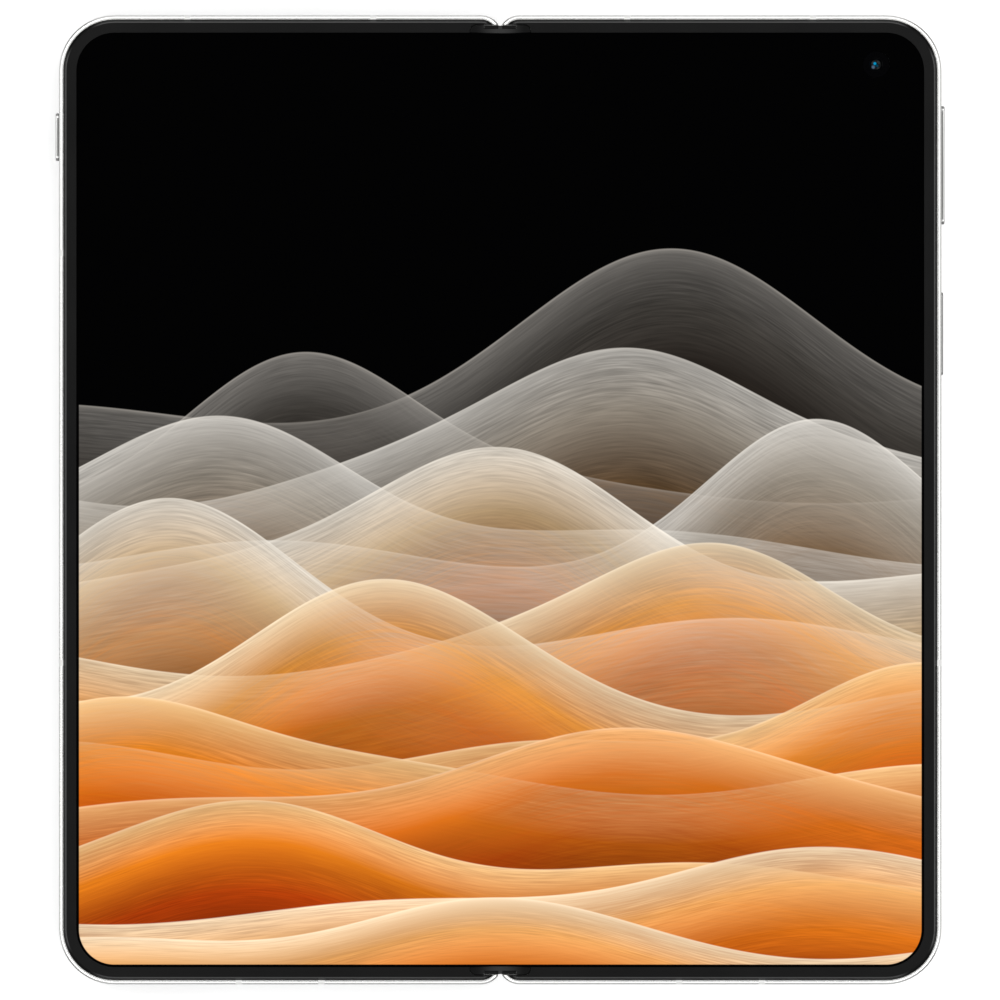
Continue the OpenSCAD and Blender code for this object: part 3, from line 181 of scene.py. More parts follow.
class Net:
    """A node tree under construction: one method makes every node, the others name what is used often."""

    def __init__(self, tree: bpy.types.NodeTree) -> None:
        """Starts with an empty tree."""
        self.tree = tree
        tree.nodes.clear()

    def node(
        self,
        kind: str,
        settings: Mapping[str, object] | None = None,
        feeds: Mapping[str | int, Feed] | None = None,
    ) -> bpy.types.Node:
        """Adds one node.

        Args:
            kind: The node's type name.
            settings: Properties that are set first; "stops" fills a colour ramp.
            feeds: A value or a wire for each input, by name or index.

        Returns:
            The new node.
        """
        made = self.tree.nodes.new(kind)
        for name, value in (settings or {}).items():
            if name == "stops":
                self._fill_ramp(made.color_ramp, value)
            else:
                setattr(made, name, value)
        for key, feed in (feeds or {}).items():
            socket = made.inputs[key]
            if isinstance(feed, Wire):
                self.tree.links.new(feed.socket, socket)
            elif socket.type == "RGBA" and len(feed) == 3:
                socket.default_value = (*feed, 1.0)
            else:
                socket.default_value = feed
        return made

    @staticmethod
    def _fill_ramp(ramp: bpy.types.ColorRamp, stops: Sequence[tuple[float, Colour]]) -> None:
        """Writes the stops of a colour ramp, which starts with two.

        Args:
            ramp: The node's ramp.
            stops: (place, colour) pairs in order.
        """
        while len(ramp.elements) < len(stops):
            ramp.elements.new(1.0)
        for element, (place, colour) in zip(ramp.elements, stops):
            element.position = place
            element.color = (*colour, 1.0)

    @staticmethod
    def _flavour(*feeds: Feed) -> Flavour:
        """The richest flavour among some feeds.

        Args:
            feeds: The feeds.

        Returns:
            Colour before vector, and vector before value.
        """
        found = {f.flavour for f in feeds if isinstance(f, Wire)}
        if Flavour.COLOUR in found:
            return Flavour.COLOUR
        return Flavour.VECTOR if Flavour.VECTOR in found else Flavour.VALUE

    def sum_up(self, operation: str, first: Feed, second: Feed) -> Wire:
        """Joins two feeds by an operation, through the node that suits what they carry.

        Args:
            operation: ADD, SUBTRACT, MULTIPLY or DIVIDE.
            first: The left side.
            second: The right side.

        Returns:
            The result, of the richer flavour of the two.
        """
        flavour = self._flavour(first, second)
        if flavour is Flavour.COLOUR:
            return self.blend(1.0, self._as_colour(first), self._as_colour(second), operation)
        if flavour is Flavour.VECTOR:
            if operation == "MULTIPLY" and self._is_number(second):
                made = self.node("ShaderNodeVectorMath", {"operation": "SCALE"}, {0: first, 3: second})
            else:
                made = self.node("ShaderNodeVectorMath", {"operation": operation}, {0: first, 1: second})
            return Wire(self, made.outputs[0], Flavour.VECTOR)
        return self.maths(operation, first, second)

    @staticmethod
    def _is_number(feed: Feed) -> bool:
        """Whether a feed is one number or a wire that carries one.

        Args:
            feed: The feed.

        Returns:
            True for a number or such a wire.
        """
        return isinstance(feed, (int, float)) or (
            isinstance(feed, Wire) and feed.flavour is Flavour.VALUE
        )

    @staticmethod
    def _as_colour(feed: Feed) -> Feed:
        """A plain number as a grey; anything else as it is."""
        return (feed, feed, feed) if isinstance(feed, (int, float)) else feed

    def maths(self, operation: str, *feeds: Feed) -> Wire:
        """A Math node with up to three feeds."""
        made = self.node("ShaderNodeMath", {"operation": operation}, dict(enumerate(feeds)))
        return Wire(self, made.outputs[0])

    def blend(self, factor: Feed, first: Feed, second: Feed, kind: str = "MIX") -> Wire:
        """Mixes two colours.

        Args:
            factor: 0 shows the first colour and 1 the second.
            first: The lower colour.
            second: The upper colour.
            kind: A blend type such as MIX, ADD, MULTIPLY or SCREEN.

        Returns:
            The mixed colour.
        """
        settings = {"data_type": "RGBA", "blend_type": kind, "clamp_result": False}
        made = self.node("ShaderNodeMix", settings, {0: factor, 6: first, 7: second})
        return Wire(self, made.outputs[2], Flavour.COLOUR)

    def place(self, output: str = "Object") -> Wire:
        """Coordinates of the piece itself."""
        made = self.node("ShaderNodeTexCoord")
        return Wire(self, made.outputs[output], Flavour.VECTOR)

    def uv(self, name: str) -> Wire:
        """Coordinates of a named UV map, which stay on the piece when it bends."""
        made = self.node("ShaderNodeUVMap", {"uv_map": name})
        return Wire(self, made.outputs[0], Flavour.VECTOR)

    def parts(self, vector: Wire) -> tuple[Wire, Wire, Wire]:
        """The three components of a vector."""
        made = self.node("ShaderNodeSeparateXYZ", None, {0: vector})
        return tuple(Wire(self, out) for out in made.outputs)

    def vector(self, x: Feed, y: Feed, z: Feed = 0.0) -> Wire:
        """A vector from its components."""
        made = self.node("ShaderNodeCombineXYZ", None, {0: x, 1: y, 2: z})
        return Wire(self, made.outputs[0], Flavour.VECTOR)

    def noise(
        self, where: Feed, scale: float, detail: float = 2.0, roughness: float = 0.5, flat: bool = False
    ) -> Wire:
        """Smooth noise from 0 to 1, with its mean near 0.5; flat noise reads x and y only.

        Args:
            where: Coordinates.
            scale: How fine it is.
            detail: How many finer layers it has.
            roughness: Weight of the finer layers.
            flat: Whether only x and y are read.

        Returns:
            The noise.
        """
        feeds = {"Vector": where, "Scale": scale, "Detail": detail, "Roughness": roughness}
        settings = {"noise_dimensions": "2D" if flat else "3D"}
        made = self.node("ShaderNodeTexNoise", settings, feeds)
        return Wire(self, made.outputs[0])

    def cells(self, where: Feed, scale: float) -> Wire:
        """Voronoi cells, as the distance to the nearest cell's point."""
        made = self.node("ShaderNodeTexVoronoi", None, {"Vector": where, "Scale": scale})
        return Wire(self, made.outputs["Distance"])

    def length(self, x: Wire, y: Wire) -> Wire:
        """Length of a flat vector."""
        return self.maths("SQRT", x * x + y * y)

    def from_axis(self, centre: Point) -> Wire:
        """Distance from an upright axis."""
        x, y, _ = self.parts(self.place() - (*centre, 0.0))
        return self.length(x, y)

    def diagonal(self, x: Wire, y: Wire, low: float, high: float) -> Wire:
        """0 where a flat vector lies along an axis and 1 where it lies between two axes."""
        level = x * x + y * y + NO_ZERO
        return self.step(x * x * y * y * 4.0 / (level * level), low, high)

    def mottled(self, colour: Colour, pattern: Wire, spread: float) -> Wire:
        """A colour made darker and lighter by a share of spread, where a pattern is low and high."""
        tint = self.scaled(pattern, 1.0 - spread, 1.0 + spread)
        return self.blend(1.0, colour, self.blend(0.0, tint, tint), "MULTIPLY")

    def mix_shaders(self, factor: Wire, first: bpy.types.Node, second: bpy.types.Node) -> None:
        """Ends the tree in a mix of two shaders; factor 0 shows the first.

        Args:
            factor: The share of the second.
            first: A shader node.
            second: A shader node.
        """
        mixed = self.node("ShaderNodeMixShader", None, {0: factor})
        self.tree.links.new(first.outputs[0], mixed.inputs[1])
        self.tree.links.new(second.outputs[0], mixed.inputs[2])
        self.close(mixed)

    def ramp(self, value: Feed, stops: Sequence[tuple[float, Colour]]) -> Wire:
        """A colour ramp."""
        made = self.node("ShaderNodeValToRGB", {"stops": stops}, {0: value})
        return Wire(self, made.outputs[0], Flavour.COLOUR)

    def step(self, value: Feed, low: Feed, high: Feed) -> Wire:
        """0 below low and 1 above high, with a smooth step between them.

        Args:
            value: What is measured.
            low: Where the step starts.
            high: Where it ends.

        Returns:
            The step.
        """
        feeds = {"Value": value, "From Min": low, "From Max": high}
        made = self.node("ShaderNodeMapRange", {"interpolation_type": "SMOOTHSTEP"}, feeds)
        return Wire(self, made.outputs[0])

    def scaled(self, value: Feed, low: float, high: float) -> Wire:
        """A value from 0 to 1 stretched over low to high."""
        made = self.node("ShaderNodeMapRange", None, {"Value": value, "To Min": low, "To Max": high})
        return Wire(self, made.outputs[0])

    def bump(self, height: Feed, distance: float, strength: float = 1.0) -> Wire:
        """A normal bent by a height field that is distance metres tall.

        Args:
            height: The height field, from 0 to 1.
            distance: Its height in metres.
            strength: The share of it that shows.

        Returns:
            The bent normal.
        """
        feeds = {"Height": height, "Distance": distance, "Strength": strength}
        made = self.node("ShaderNodeBump", None, feeds)
        return Wire(self, made.outputs[0], Flavour.VECTOR)

    def surface(self, **feeds: Feed) -> None:
        """Ends the tree in a Principled shader; input names are written with underscores.

        Args:
            feeds: A value or a wire for each of the shader's inputs.
        """
        named = {name.replace("_", " "): feed for name, feed in feeds.items()}
        named = {name.replace("Ior", "IOR"): feed for name, feed in named.items()}
        shader = self.node("ShaderNodeBsdfPrincipled", None, named)
        self.close(shader)

    def close(self, shader: bpy.types.Node) -> None:
        """Links a shader to the material's output."""
        output = self.node("ShaderNodeOutputMaterial")
        self.tree.links.new(shader.outputs[0], output.inputs[0])


def new_material(name: str) -> tuple[bpy.types.Material, Net]:
    """Makes an empty node material and the net that fills it.

    Args:
        name: The material's name.

    Returns:
        The material and its net.
    """
    material = bpy.data.materials.new(name)
    material.use_nodes = True
    return material, Net(material.node_tree)


# ------------------------------------------------------------------ finishes


@dataclass(frozen=True)
class SatinMetal:
    """Blasted or brushed metal with a fine grain, faint smudges and a soft sheen."""

    name: str
    colour: Colour
    metallic: float = 1.0
    roughness: float = 0.4
    grain_depth: float = 4e-6
    stretch: tuple[float, float, float] = (1.0, 1.0, 1.0)
    smudge_scale: float = 60.0
    mottle: float = 0.035

    def build(self) -> bpy.types.Material:
        """Makes the material.

        Returns:
            The material.
        """
        material, net = new_material(self.name)
        grain = net.noise(net.place() * self.stretch, BLAST_SCALE, 3.0)
        smudge = net.noise(net.place(), self.smudge_scale, 3.0)
        net.surface(
            Base_Color=net.mottled(self.colour, grain * 0.6 + smudge * 0.4, self.mottle),
            Metallic=self.metallic,
            Roughness=self.roughness + (grain - 0.5) * 0.12 + (smudge - 0.5) * 0.07,
            Normal=net.bump(grain, self.grain_depth),
        )
        return material


@dataclass(frozen=True)
class KeyMetalWithPaintedShade:
    """Satin metal of a side key, with painted shade where it leaves the rail that gives way to its own
    light colour on its outer face.
    """

    name: str
    # root is the colour of the painted shade where the key leaves the rail; face is the key's own colour.
    root: Colour
    face: Colour
    full_shade_x: float
    no_shade_x: float
    metallic: float = 0.85
    roughness: float = 0.3

    def build(self) -> bpy.types.Material:
        """Makes the material, which reads how far the key stands out of the rail.

        Returns:
            The material.
        """
        material, net = new_material(self.name)
        across, _, _ = net.parts(net.place())
        # Painted shade: the colour darkens towards the rail, where the slot's shadow would fall.
        out = net.step(net.maths("ABSOLUTE", across), self.full_shade_x, self.no_shade_x)
        grain = net.noise(net.place(), BLAST_SCALE, 3.0)
        net.surface(
            Base_Color=net.blend(out, self.root, self.face),
            Metallic=self.metallic,
            Roughness=self.roughness + (grain - 0.5) * 0.1,
            Normal=net.bump(grain, FINE_GRAIN),
        )
        return material


@dataclass(frozen=True)
class Moulded:
    """Moulded plastic or rubber with a fine texture and slight clouding."""

    name: str
    colour: Colour
    roughness: float = 0.5
    specular: float = 0.5

    def build(self) -> bpy.types.Material:
        """Makes the material.

        Returns:
            The material.
        """
        material, net = new_material(self.name)
        grain = net.noise(net.place(), MOULD_SCALE)
        cloud = net.noise(net.place(), CLOUD_SCALE)
        net.surface(
            Base_Color=net.mottled(self.colour, cloud, CLOUD_SPREAD),
            Roughness=self.roughness + (grain - 0.5) * 0.1 + (cloud - 0.5) * 0.06,
            Specular_IOR_Level=self.specular,
            Normal=net.bump(grain, MOULD_GRAIN),
        )
        return material


@dataclass(frozen=True)
class ChamferedMoulding:
    """Satin black moulding whose sloping rims are polished and painted lighter as a highlight, less so at
    the corners, while its flats stay dull.
    """

    name: str
    colour: Colour
    roughness: float = 0.3
    specular: float = 0.18
    polish: float = 0.95
    rim_highlight_colour: Colour = (0.019, 0.019, 0.019)
    corner_highlight_cut: float = 0.9

    def build(self) -> bpy.types.Material:
        """Makes the material, which finds the rims by the piece's own normal.

        Returns:
            The material.
        """
        material, net = new_material(self.name)
        across, along, upright = net.parts(net.place("Normal"))
        rim = net.step(upright, 0.35, 0.6) * (1.0 - net.step(upright, 0.8, 0.97))
        rim_highlight_and_coat = rim * (1.0 - net.diagonal(across, along, 0.2, 0.8) * self.corner_highlight_cut)
        grain = net.noise(net.place(), MOULD_SCALE)
        cloud = net.noise(net.place(), CLOUD_SCALE)
        # Painted highlight: the sloping rims are painted lighter, as a reflection of the lamps would make
        # them, and less so at the corners; the coat follows the same mask.
        base = net.blend(rim_highlight_and_coat, self.colour, self.rim_highlight_colour)
        net.surface(
            Base_Color=net.mottled(base, cloud, CLOUD_SPREAD),
            Roughness=self.roughness + (grain - 0.5) * 0.1 + (cloud - 0.5) * 0.06,
            Specular_IOR_Level=self.specular,
            Coat_Weight=rim_highlight_and_coat * self.polish,
            Coat_Roughness=0.12,
            Coat_IOR=1.9,
            Normal=net.bump(grain, MOULD_GRAIN),
        )
        return material


@dataclass(frozen=True)
class PolishedGlass:
    """Opaque backed glass: clear gloss over a coloured layer, with faint handling marks."""

    name: str
    colour: Colour
    roughness: float = 0.04
    frost: float = 0.0
    ripple: float = 1e-7
    specular: float = 0.5

    def build(self) -> bpy.types.Material:
        """Makes the material.

        Returns:
            The material.
        """
        material, net = new_material(self.name)
        haze = net.noise(net.place(), 45.0, 4.0, 0.6)
        fine = net.noise(net.place(), 14000.0, 2.0)
        net.surface(
            Base_Color=net.mottled(self.colour, haze, 0.015),
            Roughness=self.roughness + net.step(haze, 0.45, 0.75) * 0.03 + fine * self.frost,
            Specular_IOR_Level=self.specular,
            Normal=net.bump(fine, self.ripple),
        )
        return material


@dataclass(frozen=True)
class PouchFoil:
    """Crinkled laminate of a battery pouch."""

    name: str
    colour: Colour

    def build(self) -> bpy.types.Material:
        """Makes the material.

        Returns:
            The material.
        """
        material, net = new_material(self.name)
        crinkle = net.cells(net.place() + net.noise(net.place(), 200.0) * 0.004, 260.0)
        net.surface(
            Base_Color=net.blend(crinkle, self.colour, tuple(c * 1.5 for c in self.colour)),
            Metallic=0.7,
            Roughness=0.38 + crinkle * 0.2,
            Normal=net.bump(crinkle, 6e-5),
        )
        return material


@dataclass(frozen=True)
class CircuitBoard:
    """Solder mask with fine traces."""

    name: str
    mask: Colour
    trace: Colour

    def build(self) -> bpy.types.Material:
        """Makes the material.

        Returns:
            The material.
        """
        material, net = new_material(self.name)
        blocks = net.cells(net.place(), 700.0)
        lines = net.step(net.maths("SINE", net.parts(net.place())[0] * 9000.0), 0.2, 0.6)
        tracks = lines * net.step(blocks, 0.3, 0.5)
        net.surface(
            Base_Color=net.blend(tracks, self.mask, self.trace),
            Roughness=0.3 + tracks * 0.15,
            Normal=net.bump(tracks, 2e-5),
        )
        return material


@dataclass(frozen=True)
class Winding:
    """Flat spiral winding of enamelled wire, with its turns a pitch apart."""

    name: str
    colour: Colour
    centre: Point
    pitch: float = 0.4 * MM

    def build(self) -> bpy.types.Material:
        """Makes the material.

        Returns:
            The material.
        """
        material, net = new_material(self.name)
        turn = net.maths("SINE", net.from_axis(self.centre) * (2 * math.pi / self.pitch)) * 0.5 + 0.5
        net.surface(
            Base_Color=net.blend(turn, tuple(c * 0.35 for c in self.colour), self.colour),
            Metallic=0.9,
            Roughness=0.34 - turn * 0.08,
            Normal=net.bump(turn, 8e-5),
        )
        return material


@dataclass(frozen=True)
class Ribbon:
    """One translucent ribbon of the display's artwork, in millimetres from the display's middle."""

    height: float
    rise: float
    centre: float
    spread: float
    wave: float
    pitch: float
    phase: float
    reach: float
    tones: tuple[str, str, str, str]
    body: float = 0.75


@dataclass(frozen=True)
class Artwork:
    """The lit display: layered translucent ribbons in cream, amber and red-brown under black."""

    name: str
    half_width: float
    half_height: float
    border: float
    corner: float
    ribbons: tuple[Ribbon, ...] = ()
    dead: Colour = (0.0004, 0.0004, 0.0005)

    def build(self) -> bpy.types.Material:
        """Makes the material, which reads the rest place in millimetres from the map "rest".

        Returns:
            The material.
        """
        material, net = new_material(self.name)
        x, y, _ = net.parts(net.uv("rest"))
        x = (x - 0.5) * (2 * self.half_width / MM)
        y = (y - 0.5) * (2 * self.half_height / MM)
        colour: Feed = (0.0, 0.0, 0.0)
        for number, ribbon in enumerate(self.ribbons):
            colour = self._lay(net, x, y, ribbon, number, colour)
        net.surface(
            Base_Color=self.dead,
            Roughness=0.055,
            Specular_IOR_Level=0.16,
            Emission_Color=colour * self._lit(net, x, y),
            Emission_Strength=1.0,
        )
        return material

    def _lit(self, net: Net, x: Wire, y: Wire) -> Wire:
        """1 inside the active area, a rectangle with round corners, and 0 on its black border.

        Args:
            net: The tree under construction.
            x: Distance to the right of the middle, in millimetres.
            y: Distance above the middle, in millimetres.

        Returns:
            The mask.
        """
        reach_x = self.half_width / MM - self.border - self.corner
        reach_y = self.half_height / MM - self.border - self.corner
        over_x = net.maths("MAXIMUM", net.maths("ABSOLUTE", x) - reach_x, 0.0)
        over_y = net.maths("MAXIMUM", net.maths("ABSOLUTE", y) - reach_y, 0.0)
        edge = net.length(over_x, over_y) - self.corner
        return 1.0 - net.step(edge, -0.06, 0.06)

    def _lay(
        self, net: Net, x: Wire, y: Wire, ribbon: Ribbon, number: int, under: Feed
    ) -> Wire:
        """Lays one ribbon over what is there.

        Args:
            net: The tree under construction.
            x: Distance to the right of the middle, in millimetres.
            y: Distance above the middle, in millimetres.
            ribbon: The ribbon.
            number: Its place in the pile, which seeds its strands.
            under: The colour so far.

        Returns:
            The colour with the ribbon over it.
        """
        away = (x - ribbon.centre) / ribbon.spread
        hill = net.maths("EXPONENT", away * away * -1.0) * ribbon.rise
        wave = net.maths("SINE", x * (2 * math.pi / ribbon.pitch) + ribbon.phase) * ribbon.wave
        depth = hill + wave + ribbon.height - y
        inside = net.step(depth, -0.05, 0.22)
        share = net.maths("MAXIMUM", depth, 0.0) / ribbon.reach
        where = net.vector(x * 0.012 + number * 3.7, share * 9.0)
        strands = net.noise(where, 9.0, 2.0, 0.62, flat=True)
        folds = net.maths("SINE", share * 13.0 + x * 0.045 + strands * 2.4 + number) * 0.5 + 0.5
        stops = [(p, linear(t)) for p, t in zip((0.0, 0.28, 0.62, 1.0), ribbon.tones)]
        tone = net.ramp(share, stops)
        shade = 0.62 + strands * 0.34 + folds * 0.24
        veil = net.maths("EXPONENT", share * -1.5)
        body = ribbon.body * (0.5 + veil * 0.62) * (0.7 + strands * 0.5)
        cover = inside * net.maths("MINIMUM", body, 1.0)
        laid = net.blend(cover, under, tone * net.vector(shade, shade, shade))
        crest = inside * net.maths("EXPONENT", net.maths("MAXIMUM", depth, 0.0) * -4.5)
        return net.blend(crest * 0.4, laid, linear("#f1e9dd"), "ADD")


@dataclass(frozen=True)
class SoftBridge:
    """Dark soft moulding over the ends of the fold, lighter in the middle."""

    name: str
    edge: Colour
    middle: Colour

    def build(self) -> bpy.types.Material:
        """Makes the material, which reads the rest place along the bridge from the map "rest".

        Returns:
            The material.
        """
        material, net = new_material(self.name)
        along, across, _ = net.parts(net.uv("rest"))
        near = 1.0 - net.step(along, 0.05, 0.85)
        grain = net.noise(net.uv("rest"), 60.0, 2.0)
        net.surface(
            Base_Color=net.blend(near, self.edge, self.middle),
            Roughness=0.5 + (grain - 0.5) * 0.1 + across * 0.02,
            Specular_IOR_Level=0.06,
            Normal=net.bump(grain, 4e-6),
        )
        return material


@dataclass(frozen=True)
class CoatedLens:
    """Dark lens glass whose coating turns from one tint to another towards its rim."""

    name: str
    centre: Point
    radius: float
    core: Colour
    halo: Colour
    rim: Colour
    edge: Colour = (0.002, 0.002, 0.003)

    def build(self) -> bpy.types.Material:
        """Makes the material.

        Returns:
            The material.
        """
        material, net = new_material(self.name)
        stops = [(0.0, self.core), (0.35, self.halo), (0.75, self.rim), (1.0, self.edge)]
        net.surface(
            Base_Color=net.ramp(net.from_axis(self.centre) / self.radius, stops),
            Metallic=0.92,
            Roughness=0.07,
            Coat_Weight=0.25,
            Coat_Roughness=0.02,
        )
        return material


@dataclass(frozen=True)
class PaintedGlintLens:
    """Nearly black lens with painted glints: coloured spots that glow where reflections off its coating
    would shine, each (place, reach, tone) in millimetres.
    """

    name: str
    centre: Point
    painted_glints: tuple[tuple[Point, float, str], ...]

    def build(self) -> bpy.types.Material:
        """Makes the material.

        Returns:
            The material.
        """
        material, net = new_material(self.name)
        x, y, _ = net.parts(net.place() - (*self.centre, 0.0))
        colour: Feed = (0.0005, 0.0008, 0.001)
        # Painted glints: each spot adds emitted colour that stands in for a reflection on the lens.
        for (glint_x, glint_y), reach, tone in self.painted_glints:
            over, up = x - glint_x * MM, y - glint_y * MM
            near = 1.0 - net.step(net.length(over, up), 0.3 * reach * MM, reach * MM)
            colour = net.blend(near, colour, linear(tone), "ADD")
        net.surface(
            Base_Color=(0.0006, 0.0006, 0.0008),
            Roughness=0.05,
            Specular_IOR_Level=0.06,
            Emission_Color=colour,
            Emission_Strength=1.0,
        )
        return material


@dataclass(frozen=True)
class ClearGlass:
    """Clear window: nearly all light passes, and a little is mirrored."""

    name: str
    mirror: float = 0.3

    def build(self) -> bpy.types.Material:
        """Makes the material.

        Returns:
            The material.
        """
        material, net = new_material(self.name)
        clear = net.node("ShaderNodeBsdfTransparent")
        silver = {"Base Color": (0.9, 0.9, 0.9), "Metallic": 1.0, "Roughness": 0.02}
        gloss = net.node("ShaderNodeBsdfPrincipled", None, silver)
        facing = net.node("ShaderNodeLayerWeight", None, {"Blend": 0.25})
        net.mix_shaders(Wire(net, facing.outputs["Fresnel"]) * self.mirror, clear, gloss)
        return material


@dataclass(frozen=True)
class FlashWindow:
    """Yellowish phosphor behind a ribbed window."""

    name: str
    centre: Point
    pitch: float = 0.28 * MM

    def build(self) -> bpy.types.Material:
        """Makes the material.

        Returns:
            The material.
        """
        material, net = new_material(self.name)
        radius = net.from_axis(self.centre)
        rings = net.maths("SINE", radius * (2 * math.pi / self.pitch)) * 0.5 + 0.5
        core = 1.0 - net.step(radius, 0.7 * MM, 1.5 * MM)
        net.surface(
            Base_Color=net.blend(core, linear("#d9d6cf"), linear("#e8cf6a")),
            Roughness=0.22 - rings * 0.08,
            Coat_Weight=0.8,
            Normal=net.bump(rings, 4e-5),
        )
        return material


# ------------------------------------------------------------------ mesh toolkit


def finish_mesh(
    name: str, bm: bmesh.types.BMesh, material: bpy.types.Material, crease_deg: float = 35.0
) -> bpy.types.Object:
    """Turns a bmesh into a shown object with smooth faces and sharp creases.

    Args:
        name: The piece's name.
        bm: The mesh, which is freed.
        material: Its material.
        crease_deg: Edges that bend more than this stay sharp.

    Returns:
        The new object.
    """
    bmesh.ops.recalc_face_normals(bm, faces=bm.faces)
    mesh = bpy.data.meshes.new(name)
    bm.to_mesh(mesh)
    bm.free()
    mesh.set_sharp_from_angle(angle=math.radians(crease_deg))
    smooth = [max(abs(part) for part in face.normal) < FLAT_FACING for face in mesh.polygons]
    mesh.polygons.foreach_set("use_smooth", smooth)
    mesh.materials.append(material)
    piece = bpy.data.objects.new(name, mesh)
    bpy.context.scene.collection.objects.link(piece)
    LOG.info("made %s, %d faces", name, len(mesh.polygons))
    return piece


def settle(piece: bpy.types.Object, slot: str, body: str, *stood_for: str) -> None:
    """Hides the nodes that a piece stands for and puts the piece on the body that it rides on.

    Args:
        piece: The piece.
        slot: Not used.
        body: The body.
        stood_for: CAD nodes that it replaces.
    """
    if stood_for:
        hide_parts(*stood_for)
    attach(piece, body)


def arc(centre: Point, radius: float, start_deg: float, end_deg: float, steps: int) -> list[Point]:
    """Points along an arc, both ends included.

    Args:
        centre: Its centre.
        radius: Its radius.
        start_deg: Angle of the first point.
        end_deg: Angle of the last point.
        steps: How many stretches it is cut into.

    Returns:
        The points.
    """
    turn = [math.radians(start_deg + (end_deg - start_deg) * i / steps) for i in range(steps + 1)]
    return [(centre[0] + radius * math.cos(t), centre[1] + radius * math.sin(t)) for t in turn]


def ring_points(centre: Point, radius: float, steps: int = 96) -> list[Point]:
    """A full circle without the repeated last point."""
    return arc(centre, radius, 0.0, 360.0, steps)[:-1]


def slot_points(length: float, height: float, steps: int = 16) -> list[Point]:
    """Outline of a slot with round ends, centred on the origin.

    Args:
        length: Its length, ends included.
        height: Its height.
        steps: Stretches in each round end.

    Returns:
        The outline, anticlockwise.
    """
    reach, radius = (length - height) / 2, height / 2
    right = arc((reach, 0.0), radius, -90.0, 90.0, steps)
    return right + arc((-reach, 0.0), radius, 90.0, 270.0, steps)


def rectangle(x0: float, y0: float, x1: float, y1: float) -> list[Point]:
    """Corners of a rectangle, anticlockwise."""
    return [(x0, y0), (x1, y0), (x1, y1), (x0, y1)]


def mirrored(points: Sequence[Point]) -> list[Point]:
    """An outline mirrored in the hinge line."""
    return [(-x, y) for x, y in points]


def drawn_in(points: Sequence[Point], inset: float) -> list[Point]:
    """An outline moved inwards, each corner along its mitre.

    Args:
        points: A closed outline that runs anticlockwise; a clockwise one is moved outwards.
        inset: How far.

    Returns:
        The moved outline.
    """
    moved = []
    count = len(points)
    for i, (x, y) in enumerate(points):
        before, after = Vector(points[i - 1]), Vector(points[(i + 1) % count])
        here = Vector((x, y))
        a, b = (here - before).normalized(), (after - here).normalized()
        na, nb = Vector((-a.y, a.x)), Vector((-b.y, b.x))
        mitre = (na + nb).normalized()
        length = inset / max(mitre.dot(na), 0.35)
        moved.append((x + mitre.x * length, y + mitre.y * length))
    return moved


def area_of(points: Sequence[Point]) -> float:
    """Signed area of an outline, above zero where it runs anticlockwise."""
    pairs = zip(points, list(points[1:]) + [points[0]])
    return sum(x0 * y1 - x1 * y0 for (x0, y0), (x1, y1) in pairs) / 2


def anticlockwise(points: Sequence[Point]) -> list[Point]:
    """The outline, turned round if it runs clockwise."""
    return list(points) if area_of(points) > 0 else list(reversed(points))


def add_loop(bm: bmesh.types.BMesh, points: Iterable[Point], z: float) -> list[bmesh.types.BMVert]:
    """Adds an outline's corners at height z."""
    return [bm.verts.new((x, y, z)) for x, y in points]


def skin(bm: bmesh.types.BMesh, loops: Sequence[Sequence[bmesh.types.BMVert]]) -> None:
    """Joins each closed loop to the next by quads.

    Args:
        bm: The mesh that it joins.
        loops: Closed loops of equal length.
    """
    for lower, upper in zip(loops, loops[1:]):
        for i in range(len(lower)):
            bm.faces.new((lower[i - 1], lower[i], upper[i], upper[i - 1]))


def fill(bm: bmesh.types.BMesh, loops: Sequence[Sequence[bmesh.types.BMVert]]) -> None:
    """Fills the flat area between an outer loop and its holes.

    Args:
        bm: The mesh that it joins.
        loops: The outer loop, then its holes.
    """
    edges = []
    for loop in loops:
        for i in range(len(loop)):
            edges.append(bm.edges.get((loop[i - 1], loop[i])) or bm.edges.new((loop[i - 1], loop[i])))
    bmesh.ops.triangle_fill(bm, use_beauty=True, use_dissolve=False, edges=edges)


def rounded_steps(radius: float, steps: int) -> list[tuple[float, float]]:
    """(inset, drop) pairs that round an edge, from its side to its face."""
    turns = [math.pi / 2 * i / steps for i in range(steps + 1)]
    return [(radius * (1 - math.cos(t)), radius * (1 - math.sin(t))) for t in turns]


def rounded_plate(
    bm: bmesh.types.BMesh,
    outline: Sequence[Point],
    holes: Sequence[Sequence[Point]],
    bottom: float,
    top: float,
    low_edge: float,
    high_edge: float,
    steps: int = 4,
) -> None:
    """Adds a closed plate with rounded rims and holes.

    Args:
        bm: The mesh that it joins.
        outline: Its outer edge.
        holes: The edges of its holes.
        bottom: Height of its lower face.
        top: Height of its upper face.
        low_edge: Radius of the lower rims.
        high_edge: Radius of the upper rims.
        steps: Stretches in each rounding.
    """
    rims = [anticlockwise(outline)] + [list(reversed(anticlockwise(h))) for h in holes]
    lower_loops, upper_loops = [], []
    for rim in rims:
        loops = []
        for inset, drop in reversed(rounded_steps(low_edge, steps) if low_edge else [(0.0, 0.0)]):
            loops.append(add_loop(bm, drawn_in(rim, inset), bottom + drop))
        for inset, drop in rounded_steps(high_edge, steps) if high_edge else [(0.0, 0.0)]:
            loops.append(add_loop(bm, drawn_in(rim, inset), top - drop))
        skin(bm, loops)
        lower_loops.append(loops[0])
        upper_loops.append(loops[-1])
    fill(bm, lower_loops)
    fill(bm, upper_loops)


